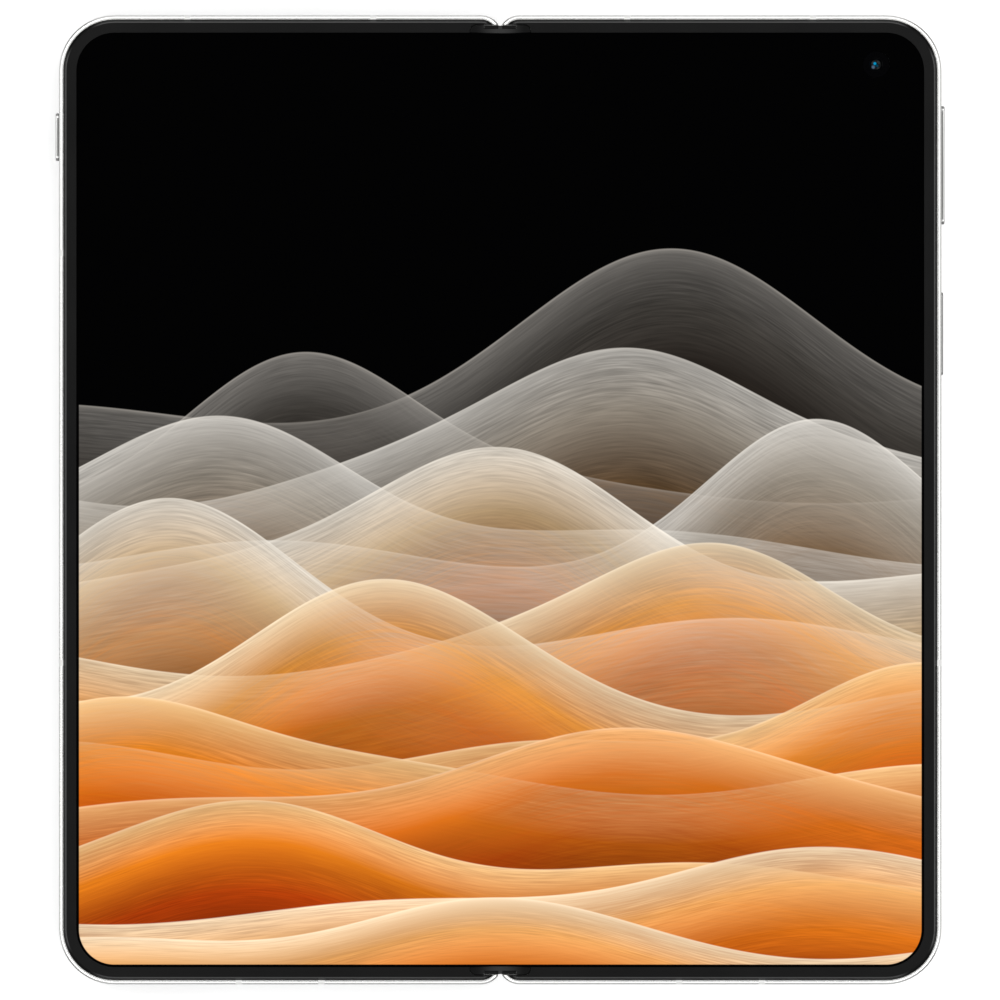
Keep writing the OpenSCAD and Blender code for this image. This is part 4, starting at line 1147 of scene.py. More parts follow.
def turned(
    bm: bmesh.types.BMesh, profile: Sequence[Point], centre: Point, steps: int = 96
) -> None:
    """Adds a closed turning: a profile of (radius, height) pairs from axis to axis.

    Args:
        bm: The mesh that it joins.
        profile: The outline; its ends lie on the axis at radius 0.
        centre: The axis.
        steps: Sides of the turning.
    """
    loops = []
    for radius, height in profile[1:-1]:
        loops.append(add_loop(bm, ring_points(centre, radius, steps), height))
    skin(bm, loops)
    for loop, (_, height) in ((loops[0], profile[0]), (loops[-1], profile[-1])):
        tip = bm.verts.new((*centre, height))
        for i in range(len(loop)):
            bm.faces.new((loop[i - 1], loop[i], tip))


def thicken(bm: bmesh.types.BMesh, thickness: float) -> None:
    """Turns flat faces into a sheet that reaches down by its thickness.

    Args:
        bm: The mesh, which holds only the flat faces.
        thickness: The sheet's thickness.
    """
    lower = bmesh.ops.extrude_face_region(bm, geom=list(bm.faces))["geom"]
    moved = [part for part in lower if isinstance(part, bmesh.types.BMVert)]
    bmesh.ops.translate(bm, verts=moved, vec=(0.0, 0.0, -thickness))


def loft(bm: bmesh.types.BMesh, sections: Sequence[Sequence[Vector]]) -> list[list[bmesh.types.BMVert]]:
    """Adds a closed body through sections of equal length, with flat ends.

    Args:
        bm: The mesh that it joins.
        sections: The corners of each section in order.

    Returns:
        The mesh's corners, section by section.
    """
    loops = [[bm.verts.new(p) for p in section] for section in sections]
    skin(bm, loops)
    bm.faces.new(list(reversed(loops[0])))
    bm.faces.new(loops[-1])
    return loops


def store_rest_map(bm: bmesh.types.BMesh, place: "RestMap") -> None:
    """Writes a UV map "rest" from each corner's place at rest.

    Args:
        bm: The mesh, in its rest place.
        place: The map.
    """
    layer = bm.loops.layers.uv.new("rest")
    for face in bm.faces:
        for corner in face.loops:
            corner[layer].uv = place.at(corner.vert.co)


@dataclass(frozen=True)
class RestMap:
    """Turns a place at rest into map coordinates: offset + place / size."""

    size_x: float
    size_y: float
    offset: float = 0.5

    def at(self, place: Vector) -> Point:
        """Map coordinates of one place."""
        return (self.offset + place.x / self.size_x, self.offset + place.y / self.size_y)


# ------------------------------------------------------------------ the phone


@dataclass(frozen=True)
class PhoneSizes:
    """Sizes that several sub-assemblies share, in metres; the first four come from the frame."""

    half_width: float
    half_height: float
    back_z: float
    top_z: float
    corner: float = 9.2 * MM
    notch_x: float = 3.18 * MM
    notch_radius: float = 3.5 * MM
    bezel: float = 2.9 * MM
    display_drop: float = 0.25 * MM
    fold_reach: float = 5.0 * MM
    bend_reach: float = 1.7 * MM
    sheet_thickness: float = 0.3 * MM

    @classmethod
    def from_frame(cls) -> "PhoneSizes":
        """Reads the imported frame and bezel.

        Returns:
            The sizes.
        """
        low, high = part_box("frame_right")
        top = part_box("bezel_right")[1].z
        return cls(half_width=high.x, half_height=high.y, back_z=low.z, top_z=top)

    @property
    def display_z(self) -> float:
        """Height of the inner display's face."""
        return self.top_z - self.display_drop

    def plan(self, inset: float, start_x: float, notch: bool) -> list[Point]:
        """Outline of the right half, drawn in by inset.

        Args:
            inset: Distance from the outer edge.
            start_x: Where the outline starts beside the hinge line.
            notch: Whether the corners beside the hinge line curve in.

        Returns:
            The outline, anticlockwise from the lower inner corner.
        """
        mid = (self.half_width - self.corner, self.half_height - self.corner)
        radius = self.corner - inset
        points = arc((mid[0], -mid[1]), radius, -90.0, 0.0, 20)
        points += arc(mid, radius, 0.0, 90.0, 20)
        if notch:
            notch_mid = (self.notch_x, self.half_height - self.notch_radius)
            curve = arc(notch_mid, self.notch_radius - inset, 90.0, 180.0, 12)
            points += curve + [(start_x, notch_mid[1])]
            points += [(start_x, -notch_mid[1])] + [(x, -y) for x, y in reversed(curve)]
        else:
            points += [(start_x, self.half_height - inset), (start_x, inset - self.half_height)]
        return points


class Side(Enum):
    """The two halves, with the sign of their X and the body that each rides on."""

    RIGHT = (1.0, "right_half")
    LEFT = (-1.0, "left_half")

    @property
    def sign(self) -> float:
        """1 on the right and -1 on the left."""
        return self.value[0]

    @property
    def body(self) -> str:
        """Name of the half's body."""
        return self.value[1]

    @property
    def word(self) -> str:
        """right or left, for names."""
        return self.name.lower()


@dataclass
class InnerDisplay:
    """The folding display: two sheets that meet at the fold."""

    sizes: PhoneSizes
    inset: float = 2.43 * MM
    columns: int = 40
    crease: float = 0.03 * MM
    camera_x: float = 62.0 * MM
    camera_y: float = 71.8 * MM
    camera_hole: float = 2.23 * MM
    window_edge: float = 0.05 * MM
    window_play: float = 0.03 * MM
    lens_radius: float = 0.98 * MM
    lens_well: float = 0.5 * MM
    dome_depth: float = 0.4 * MM
    dome_rise: float = 0.3 * MM
    dome_seat: float = 0.45 * MM
    # Painted glints on the camera's lens: place, reach and tone of each glowing spot.
    painted_glints: tuple[tuple[Point, float, str], ...] = (
        ((-0.21, 0.16), 0.34, "#0096c8"),
        ((0.15, -0.21), 0.32, "#003a50"),
        ((-0.46, -0.4), 0.4, "#465a70"),
    )

    def build(self, lit: bpy.types.Material, window: bpy.types.Material, jewel: bpy.types.Material) -> None:
        """Makes both sheets and the camera behind the display.

        Args:
            lit: The artwork.
            window: Black glass round the camera.
            jewel: The camera's front lens.
        """
        for side in Side:
            self._sheet(side, lit)
        self._camera(window, jewel)

    def _sheet(self, side: Side, lit: bpy.types.Material) -> None:
        """Makes one sheet: fine columns over the fold, and one flat stretch beyond them.

        Args:
            side: The half.
            lit: The artwork.
        """
        size = self.sizes
        top_y = size.half_height - self.inset
        bm = bmesh.new()
        columns = []
        for i in range(self.columns + 1):
            x = size.fold_reach * i / self.columns
            dip = self.crease * (1 + math.cos(math.pi * i / self.columns)) / 2
            columns.append([bm.verts.new((x, y, size.display_z - dip)) for y in (-top_y, top_y)])
        for before, after in zip(columns, columns[1:]):
            bm.faces.new((before[0], after[0], after[1], before[1]))
        outline = size.plan(self.inset, size.fold_reach, notch=False)
        outer = add_loop(bm, outline[:-2], size.display_z) + [columns[-1][1], columns[-1][0]]
        loops = [outer]
        if side is Side.RIGHT:
            hole = ring_points((self.camera_x, self.camera_y), self.camera_hole, 64)
            loops.append(add_loop(bm, hole, size.display_z))
        fill(bm, loops)
        thicken(bm, size.sheet_thickness)
        bmesh.ops.scale(bm, verts=bm.verts, vec=(side.sign, 1.0, 1.0))
        store_rest_map(bm, RestMap(2 * size.half_width, 2 * size.half_height))
        self._darken_underside(bm)
        piece = finish_mesh(f"display_sheet_{side.word}", bm, lit)
        bend_over_fold(piece, side, size, "inner_display", f"display_{side.word}", "fold_strip")

    def _darken_underside(self, bm: bmesh.types.BMesh) -> None:
        """Maps the faces below the sheet outside the lit area, so that only its front shines.

        Args:
            bm: The sheet's mesh, in its rest place.
        """
        layer = bm.loops.layers.uv["rest"]
        middle = self.sizes.display_z - self.sizes.sheet_thickness / 2
        for face in bm.faces:
            if all(vert.co.z < middle for vert in face.verts):
                for corner in face.loops:
                    corner[layer].uv = (0.0, 0.0)

    def _camera(self, window: bpy.types.Material, jewel: bpy.types.Material) -> None:
        """Makes the round window in the display and the small lens in its middle.

        Args:
            window: Black glass round the camera.
            jewel: The camera's front lens.
        """
        top = self.sizes.display_z
        centre = (self.camera_x, self.camera_y)
        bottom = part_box("inner_camera")[0].z
        edge, lens, step = self.camera_hole - self.window_play, self.lens_radius, self.window_edge
        well, seat, middle = top - self.lens_well, top - self.dome_seat, top - self.dome_depth
        profile = [(0.0, well), (lens, well), (lens + step, top - 2 * step)]
        profile += [(lens + 2 * step, top - step), (edge - step, top - step), (edge, top - 2 * step)]
        profile += [(edge, bottom), (0.0, bottom)]
        bm = bmesh.new()
        turned(bm, profile, centre)
        ring = finish_mesh("inner_camera_window", bm, window)
        settle(ring, "lens_glass", Side.RIGHT.body, "inner_camera")
        bm = bmesh.new()
        dome = [(lens * math.sin(t), middle + self.dome_rise * math.cos(t)) for t in quarter(10)]
        turned(bm, dome + [(lens, seat), (0.0, seat)], centre, 64)
        settle(finish_mesh("inner_camera_lens", bm, jewel), "lens_glass", Side.RIGHT.body)


def quarter(steps: int) -> list[float]:
    """Angles from 0 to a quarter turn, in radians."""
    return [math.pi / 2 * i / steps for i in range(steps + 1)]


def bend_over_fold(
    piece: bpy.types.Object, side: Side, sizes: PhoneSizes, slot: str, *stood_for: str
) -> None:
    """Hides the nodes that a piece stands for and bakes the piece's placement into its mesh.

    Args:
        piece: The piece.
        side: Not used.
        sizes: Not used.
        slot: Not used.
        stood_for: CAD nodes that it replaces.
    """
    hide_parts(*stood_for)
    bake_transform(piece)


@dataclass
class FoldParts:
    """Soft bridges, slotted plate and ribbon cable over the fold."""

    sizes: PhoneSizes
    bridge_outer: float = 1.6 * MM
    bridge_cover: float = 0.5 * MM
    shoulder: float = 1.0 * MM
    bridge_top_drop: float = 0.06 * MM
    round_edge: float = 0.18 * MM
    tab_gap: float = 0.31 * MM
    tab_end: float = 2.68 * MM
    tab_inner: float = 2.24 * MM
    cusp_outer: float = 1.74 * MM
    bulge: float = 0.12 * MM
    slot_rows: int = 26
    plate_columns: tuple[float, ...] = (0.0, 0.2, 0.6, 0.9, 1.2, 1.5, 1.8, 2.2, 2.6, 3.4, 4.2, 5.0)
    slotted_columns: tuple[int, ...] = (0, 7)
    bridge_share: float = 0.3
    arm_room: tuple[float, float] = (59.0 * MM, 62.6 * MM)
    flex_width: float = 12.0 * MM
    flex_reach: float = 11.2 * MM
    flex_thickness: float = 0.12 * MM
    flex_columns: int = 56
    tab_columns: int = 14
    seat_depth: float = 0.7 * MM
    end_room: float = 0.03 * MM

    def build(self, soft: bpy.types.Material, steel: bpy.types.Material, film: bpy.types.Material) -> None:
        """Makes every piece over the fold.

        Args:
            soft: The bridges' moulding.
            steel: The slotted plate.
            film: The ribbon cable.
        """
        for side in Side:
            self._bridge(side, soft)
            self._plate(side, steel)
            self._ribbon(side, film)

    def _bridge_section(self, x: float, outer: float) -> list[Point]:
        """(distance from the long edge, height) round the bridge at one place along it.

        Args:
            x: Distance from the hinge line.
            outer: Distance of its outer face from the long edge.

        Returns:
            The corners of the section.
        """
        size = self.sizes
        top = size.top_z - self.bridge_top_drop
        low = size.display_z + OVERLAP
        seat = size.display_z - self.seat_depth
        inner = size.bezel + self.bulge * math.cos(math.pi / 2 * min(x / size.fold_reach, 1.0))
        cover = size.bezel - self.bridge_cover
        r = self.round_edge
        points = [(inner, low), (cover, low), (cover, seat), (outer, seat), (outer, top - r)]
        points += [(outer + r * (1 - math.cos(t)), top - r * (1 - math.sin(t))) for t in quarter(4)[1:]]
        points += [(inner - r * (1 - math.sin(t)), top - r * (1 - math.cos(t))) for t in quarter(4)[:-1]]
        return points + [(inner, top - r)]

    def _bridge(self, side: Side, soft: bpy.types.Material) -> None:
        """Makes a side's half of the bridges at both ends of the fold.

        Args:
            side: The half.
            soft: The bridges' moulding.
        """
        size = self.sizes
        end = size.fold_reach - self.end_room
        stations = [(0.0, self.cusp_outer), (self.tab_gap, self.cusp_outer)]
        spacing = (self.tab_end - self.tab_gap) / self.tab_columns
        inner = [self.tab_gap + OVERLAP + spacing * i for i in range(self.tab_columns)]
        stations += [(x, self.tab_inner) for x in inner + [self.tab_end]]
        straight = end - self.shoulder
        outer = [self.tab_end + (straight - self.tab_end) * i / 6 for i in range(1, 7)]
        stations += [(x, self.bridge_outer) for x in [self.tab_end + OVERLAP] + outer]
        floor = size.bezel - self.bridge_cover - 0.05 * MM
        for turn in quarter(10)[1:]:
            drop = self.bridge_outer + self.shoulder * (1 - math.cos(turn))
            stations.append((straight + self.shoulder * math.sin(turn), min(drop, floor)))
        bm = bmesh.new()
        for upwards in (1.0, -1.0):
            sections = []
            for x, outer in stations:
                ring = self._bridge_section(x, outer)
                y_edge = size.half_height
                sections.append([Vector((side.sign * x, upwards * (y_edge - d), z)) for d, z in ring])
            loft(bm, sections)
        store_rest_map(bm, RestMap(side.sign * end, 1.0, offset=0.0))
        piece = finish_mesh(f"bridge_{side.word}", bm, soft)
        bend_over_fold(piece, side, size, "soft_bridge", "bezel_bridge")

    def _plate(self, side: Side, steel: bpy.types.Material) -> None:
        """Makes a side's half of the plate below the fold, with slots, and room for the timing arms.

        Args:
            side: The half.
            steel: The plate's metal.
        """
        low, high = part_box("fold_lattice")
        pitch = (high.y - low.y) / self.slot_rows
        rows = [high.y] + [sign * y for sign in (-1.0, 1.0) for y in self.arm_room]
        for i in range(self.slot_rows):
            rows += [low.y + i * pitch, low.y + (i + self.bridge_share) * pitch]
        rows.sort()
        bm = bmesh.new()
        places = [x * MM * side.sign for x in self.plate_columns]
        grid = [[bm.verts.new((x, y, high.z)) for y in rows] for x in places]
        for i, (before, after) in enumerate(zip(grid, grid[1:])):
            for j in range(len(rows) - 1):
                middle = (rows[j] + rows[j + 1]) / 2
                open_row = (middle - low.y) / pitch % 1.0 > self.bridge_share
                slot = open_row and i in self.slotted_columns
                room = i > 0 and self.arm_room[0] < abs(middle) < self.arm_room[1]
                if not (slot or room):
                    bm.faces.new((before[j], after[j], after[j + 1], before[j + 1]))
        loose = [vert for vert in bm.verts if not vert.link_faces]
        bmesh.ops.delete(bm, geom=loose, context="VERTS")
        thicken(bm, high.z - low.z)
        piece = finish_mesh(f"fold_plate_{side.word}", bm, steel)
        bend_over_fold(piece, side, self.sizes, "steel", "fold_lattice")

    def _ribbon(self, side: Side, film: bpy.types.Material) -> None:
        """Makes a side's half of the ribbon cable with its connector.

        Args:
            side: The half.
            film: The cable's film.
        """
        low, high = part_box("hinge_flex")
        top, width = high.z, self.flex_width / 2
        bm = bmesh.new()
        ring = rectangle(-width, top - self.flex_thickness, width, top)
        columns = [self.flex_reach * i / self.flex_columns for i in range(self.flex_columns + 1)]
        loft(bm, [[Vector((side.sign * x, y, z)) for y, z in ring] for x in columns])
        middle, half, back = self.flex_reach - 1.0 * MM, 0.8 * MM, width - 1.0 * MM
        block = rectangle(side.sign * (middle - half), -back, side.sign * (middle + half), back)
        seat = top - self.flex_thickness - OVERLAP
        rounded_plate(bm, block, [], low.z, seat, 0.05 * MM, 0.0, 2)
        piece = finish_mesh(f"ribbon_cable_{side.word}", bm, film)
        bend_over_fold(piece, side, self.sizes, "flex", "hinge_flex")


@dataclass
class BackGlasses:
    """White back cover and black cover glass, with softened rims."""

    sizes: PhoneSizes
    border: float = 1.15 * MM
    lip: float = 0.75 * MM
    thickness: float = 0.35 * MM
    rim: float = 0.14 * MM
    inner_rim: float = 0.02 * MM
    island_x: float = 36.4 * MM
    island_y: float = 46.95 * MM
    island_hole: float = 23.45 * MM
    cover_camera_y: float = 73.05 * MM
    cover_camera_hole: float = 1.93 * MM
    cover_lens: float = 0.95 * MM
    camera_play: float = 0.02 * MM
    ring_edge: float = 0.04 * MM
    lens_well: float = 0.5 * MM
    dome_depth: float = 0.42 * MM
    dome_rise: float = 0.3 * MM
    dome_seat: float = 0.47 * MM

    @property
    def cover_camera(self) -> Point:
        """Middle of the cover camera."""
        return (-self.island_x, self.cover_camera_y)

    def build(
        self, white: bpy.types.Material, black: bpy.types.Material,
        window: bpy.types.Material, lens: bpy.types.Material,
    ) -> None:
        """Makes both glasses and the camera in the cover glass.

        Args:
            white: The back cover's glass.
            black: The cover glass.
            window: Black ring round the cover camera.
            lens: The cover camera's front lens.
        """
        size = self.sizes
        low, high = size.back_z, size.back_z + self.thickness
        plan = size.plan(self.border, self.lip, notch=True)
        bm = bmesh.new()
        hole = ring_points((self.island_x, self.island_y), self.island_hole, 128)
        rounded_plate(bm, plan, [hole], low, high, self.rim, self.inner_rim)
        cover = finish_mesh("back_cover_glass", bm, white)
        settle(cover, "back_glass", Side.RIGHT.body, "back_cover")
        bm = bmesh.new()
        hole = ring_points(self.cover_camera, self.cover_camera_hole, 64)
        rounded_plate(bm, mirrored(plan), [hole], low, high, self.rim, self.inner_rim)
        glass = finish_mesh("cover_glass_sheet", bm, black)
        settle(glass, "cover_glass", Side.LEFT.body, "cover_glass")
        self._camera(low, window, lens)

    def _camera(self, face: float, window: bpy.types.Material, lens: bpy.types.Material) -> None:
        """Makes the cover camera: a black ring flush with the glass, and a domed lens inside it.

        Args:
            face: Height of the glass's outer face.
            window: Black ring round the lens.
            lens: The front lens.
        """
        edge, step = self.cover_camera_hole - self.camera_play, self.ring_edge
        reach, centre = self.cover_lens, self.cover_camera
        well, seat, middle = face + self.lens_well, face + self.dome_seat, face + self.dome_depth
        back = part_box("cover_camera")[1].z
        profile = [(0.0, well), (reach, well), (reach + step, face + 2 * step)]
        profile += [(reach + 3 * step, face + step), (edge - step, face), (edge, face + step)]
        profile += [(edge, back), (0.0, back)]
        bm = bmesh.new()
        turned(bm, profile, centre)
        ring = finish_mesh("cover_camera_window", bm, window)
        settle(ring, "lens_glass", Side.LEFT.body, "cover_camera")
        bm = bmesh.new()
        dome = [(reach * math.sin(t), middle - self.dome_rise * math.cos(t)) for t in quarter(10)]
        turned(bm, dome + [(reach, seat), (0.0, seat)], centre, 64)
        settle(finish_mesh("cover_camera_lens", bm, lens), "lens_glass", Side.LEFT.body)


@dataclass
class CameraIsland:
    """The lens units and the flash of the round island on the back."""

    island_x: float = 36.4 * MM
    island_y: float = 46.95 * MM
    reach: float = 12.6 * MM
    lens_angles: tuple[float, ...] = (45.0, 135.0, 225.0)
    flash_angle: float = 315.0
    bore: float = 5.46 * MM
    window_z: float = 0.5 * MM
    window_t: float = 0.18 * MM
    flash_radius: float = 2.58 * MM
    flash_face: float = 0.15 * MM
    ribs: int = 8
    lens_radius: float = 2.45 * MM
    lens_crease_deg: float = 28.0

    def station(self, angle: float) -> Point:
        """Middle of what sits at an angle round the island."""
        turn = math.radians(angle)
        return (self.island_x + self.reach * math.cos(turn), self.island_y + self.reach * math.sin(turn))

    def build(
        self, barrel: bpy.types.Material, trim: bpy.types.Material,
        clear: bpy.types.Material, coatings: Sequence[bpy.types.Material],
        flash: bpy.types.Material,
    ) -> None:
        """Makes every unit.

        Args:
            barrel: Matt black of the stepped barrels.
            trim: Thin bright rings.
            clear: The windows.
            coatings: One front lens material for each unit.
            flash: The flash window.
        """
        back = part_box("camera_modules")[1].z
        for number, angle in enumerate(self.lens_angles):
            centre = self.station(angle)
            self._barrel(number, centre, back, barrel)
            self._trim(number, centre, trim)
            self._elements(number, centre, coatings[number % len(coatings)])
            self._window(number, centre, clear)
        self._flash(self.station(self.flash_angle), flash)

    def _add(
        self, name: str, profile: Sequence[Point], centre: Point,
        material: bpy.types.Material, slot: str, stood_for: Sequence[str] = (),
    ) -> None:
        """Makes one turning, from (radius, height) in millimetres, that rides on the right half.

        Args:
            name: The piece's name.
            profile: Its half section, from axis to axis.
            centre: Its axis.
            material: Its material.
            slot: Its slot in the record.
            stood_for: CAD nodes that it replaces.
        """
        bm = bmesh.new()
        turned(bm, [(r * MM, z * MM) for r, z in profile], centre)
        piece = finish_mesh(name, bm, material, self.lens_crease_deg)
        settle(piece, slot, Side.RIGHT.body, *stood_for)

    def _barrel(self, number: int, centre: Point, back: float, material: bpy.types.Material) -> None:
        """Stepped black barrel behind a window.

        Args:
            number: Which unit.
            centre: Its axis.
            back: Height of its inner end.
            material: Its material.
        """
        bore, back_mm = self.bore / MM, back / MM
        front = (self.window_z + self.window_t) / MM + 0.02
        steps = [(0.0, 2.35), (2.5, 2.35), (2.7, 2.0), (3.1, 2.0), (3.15, 1.72), (3.6, 1.62)]
        steps += [(3.65, 1.36), (4.15, 1.3), (4.2, front + 0.1), (4.35, front), (bore, front)]
        profile = steps + [(bore, back_mm), (0.0, back_mm)]
        self._add(f"camera_barrel_{number}", profile, centre, material, "module_plastic",
                  ("camera_modules",))

    def _trim(self, number: int, centre: Point, material: bpy.types.Material) -> None:
        """Thin bright ring round the barrel's mouth.

        Args:
            number: Which unit.
            centre: Its axis.
            material: Its material.
        """
        front = (self.window_z + self.window_t) / MM
        ring = [(4.22, 0.06), (4.26, 0.015), (4.34, 0.01), (4.38, 0.02), (4.38, 0.14), (4.22, 0.14)]
        bm = bmesh.new()
        loops = [add_loop(bm, ring_points(centre, r * MM), (front + z) * MM) for r, z in ring]
        skin(bm, loops + [loops[0]])
        settle(finish_mesh(f"camera_trim_{number}", bm, material), "lens_metal", Side.RIGHT.body)

    def _elements(self, number: int, centre: Point, material: bpy.types.Material) -> None:
        """Domed front lens deep in the barrel.

        Args:
            number: Which unit.
            centre: Its axis.
            material: Its material.
        """
        radius, rim, crown = self.lens_radius / MM, 2.2, 0.55
        dome = [(radius * math.sin(t), rim - crown * math.cos(t)) for t in quarter(14)]
        self._add(f"camera_lens_{number}", dome + [(radius, 2.3), (0.0, 2.3)], centre, material,
                  "lens_glass", ("camera_lenses",))

    def _window(self, number: int, centre: Point, material: bpy.types.Material) -> None:
        """Flat clear window.

        Args:
            number: Which unit.
            centre: Its axis.
            material: Its material.
        """
        top, bottom = self.window_z / MM, (self.window_z + self.window_t) / MM
        edge = self.bore / MM
        profile = [(0.0, top), (edge - 0.03, top), (edge, top + 0.03), (edge, bottom), (0.0, bottom)]
        self._add(f"camera_window_{number}", profile, centre, material, "lens_glass")

    def _flash(self, centre: Point, material: bpy.types.Material) -> None:
        """Flash window with fine round ribs and a softened rim.

        Args:
            centre: Its axis.
            material: Its material.
        """
        edge, face = self.flash_radius / MM, self.flash_face / MM
        ribs = []
        for i in range(self.ribs):
            r = 0.3 + 1.75 * i / self.ribs
            ribs += [(r, face + 0.05), (r + 0.16, face + 0.1)]
        profile = [(0.0, face + 0.05)] + ribs + [(2.2, face + 0.03), (2.3, face)]
        profile += [(edge - 0.06, face), (edge, face + 0.06), (edge, 0.95), (0.0, 0.95)]
        self._add("flash_window", profile, centre, material, "lens_glass")


@dataclass
class SideKeys:
    """Keys with crowned, softened faces."""

    sizes: PhoneSizes
    height: float = 1.6 * MM
    middle_z: float = 5.15 * MM
    root: float = 1.1 * MM
    edge: float = 0.24 * MM
    flange: float = 0.4 * MM
    flange_drop: float = 0.2 * MM
    flange_edge: float = 0.05 * MM
    rocker_nub: float = 0.3 * MM

    def build(self, metal: bpy.types.Material) -> None:
        """Makes the volume key, the power key and the side key.

        Args:
            metal: The keys' metal.
        """
        sides = {"volume_key": Side.RIGHT, "power_key": Side.RIGHT, "side_key": Side.LEFT}
        for node, side in sides.items():
            self._key(node, side, metal)

    def _key(self, node: str, side: Side, metal: bpy.types.Material) -> None:
        """Makes one key from its node's box.

        Args:
            node: The node that it stands for, which is also its body.
            side: The half.
            metal: The keys' metal.
        """
        low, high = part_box(node)
        inner, outer = (low.x, high.x) if side is Side.RIGHT else (-high.x, -low.x)
        length = high.y - low.y - 2 * self.flange
        bm = bmesh.new()
        face = slot_points(length, self.height, 14)
        rounded_plate(bm, face, [], self.sizes.half_width - self.root, outer, 0.0, self.edge, 5)
        reach = length / 2 + self.flange
        flange = rectangle(-reach, -self.height / 2, reach, self.height / 2)
        start = inner + (self.rocker_nub if node == "volume_key" else 0.0)
        stop = self.sizes.half_width - self.root - self.flange_drop
        rounded_plate(bm, flange, [], start, stop, self.flange_edge, self.flange_edge, 2)
        middle_y = (low.y + high.y) / 2
        for vert in bm.verts:
            along, up, out = vert.co
            vert.co = (side.sign * out, middle_y + along, self.middle_z + up)
        settle(finish_mesh(f"{node}_cap", bm, metal), "key_metal", node, node)


@dataclass
class ChargingPort:
    """Metal shell, dark tongue and gilt contacts of the charging port."""

    sizes: PhoneSizes
    middle_x: float = 36.4 * MM
    middle_z: float = 4.98 * MM
    mouth: tuple[float, float] = (8.34 * MM, 2.56 * MM)
    wall: float = 0.12 * MM
    depth: float = 7.4 * MM
    back_wall: float = 0.8 * MM
    tongue: tuple[float, float] = (6.69 * MM, 0.7 * MM)
    tongue_from: float = 1.1 * MM
    contacts: int = 12
    contact_pitch: float = 0.5 * MM
    contact_from: float = 0.4 * MM
    contact_size: tuple[float, float, float] = (0.26 * MM, 3.9 * MM, 0.02 * MM)

    def build(self, steel: bpy.types.Material, dark: bpy.types.Material, gilt: bpy.types.Material) -> None:
        """Makes the three pieces of the port.

        Args:
            steel: The metal shell.
            dark: The tongue.
            gilt: The contacts.
        """
        start = 0.05 * MM - self.sizes.half_height
        end = start + self.depth
        bm = bmesh.new()
        width, height = self.mouth
        outer = slot_points(width + 2 * self.wall, height + 2 * self.wall)
        rounded_plate(bm, outer, [slot_points(width, height)], start, end, 0.03 * MM, 0.0, 2)
        inner = slot_points(width - 0.01 * MM, height - 0.01 * MM)
        rounded_plate(bm, inner, [], end - self.back_wall, end - 0.01 * MM, 0.0, 0.0)
        self._seat("port_shell", bm, steel, "usb_port")
        bm = bmesh.new()
        reach, half = self.tongue[0] / 2, self.tongue[1] / 2
        blade = rectangle(-reach, -half, reach, half)
        front = start + self.tongue_from
        rounded_plate(bm, blade, [], front, end - self.back_wall, 0.12 * MM, 0.0, 3)
        self._seat("port_tongue", bm, dark)
        bm = bmesh.new()
        strip_w, strip_l, strip_t = self.contact_size
        pad_from = front + self.contact_from
        for face in (1.0, -1.0):
            for i in range(self.contacts):
                x = (i - (self.contacts - 1) / 2) * self.contact_pitch
                y0, y1 = sorted((face * half, face * (half + strip_t)))
                pad = rectangle(x - strip_w / 2, y0, x + strip_w / 2, y1)
                rounded_plate(bm, pad, [], pad_from, pad_from + strip_l, 0.0, 0.0)
        self._seat("port_contacts", bm, gilt)

    def _seat(
        self, name: str, bm: bmesh.types.BMesh, material: bpy.types.Material, *stood_for: str
    ) -> None:
        """Turns a piece modelled in the mouth's plane into its place in the rail.

        Args:
            name: The piece's name.
            bm: Its mesh, which is freed.
            material: Its material.
            stood_for: CAD nodes that it replaces.
        """
        for vert in bm.verts:
            across, up, along = vert.co
            vert.co = (self.middle_x + across, along, self.middle_z + up)
        settle(finish_mesh(name, bm, material), "steel", Side.RIGHT.body, *stood_for)


# ------------------------------------------------------------------ dressing and studio


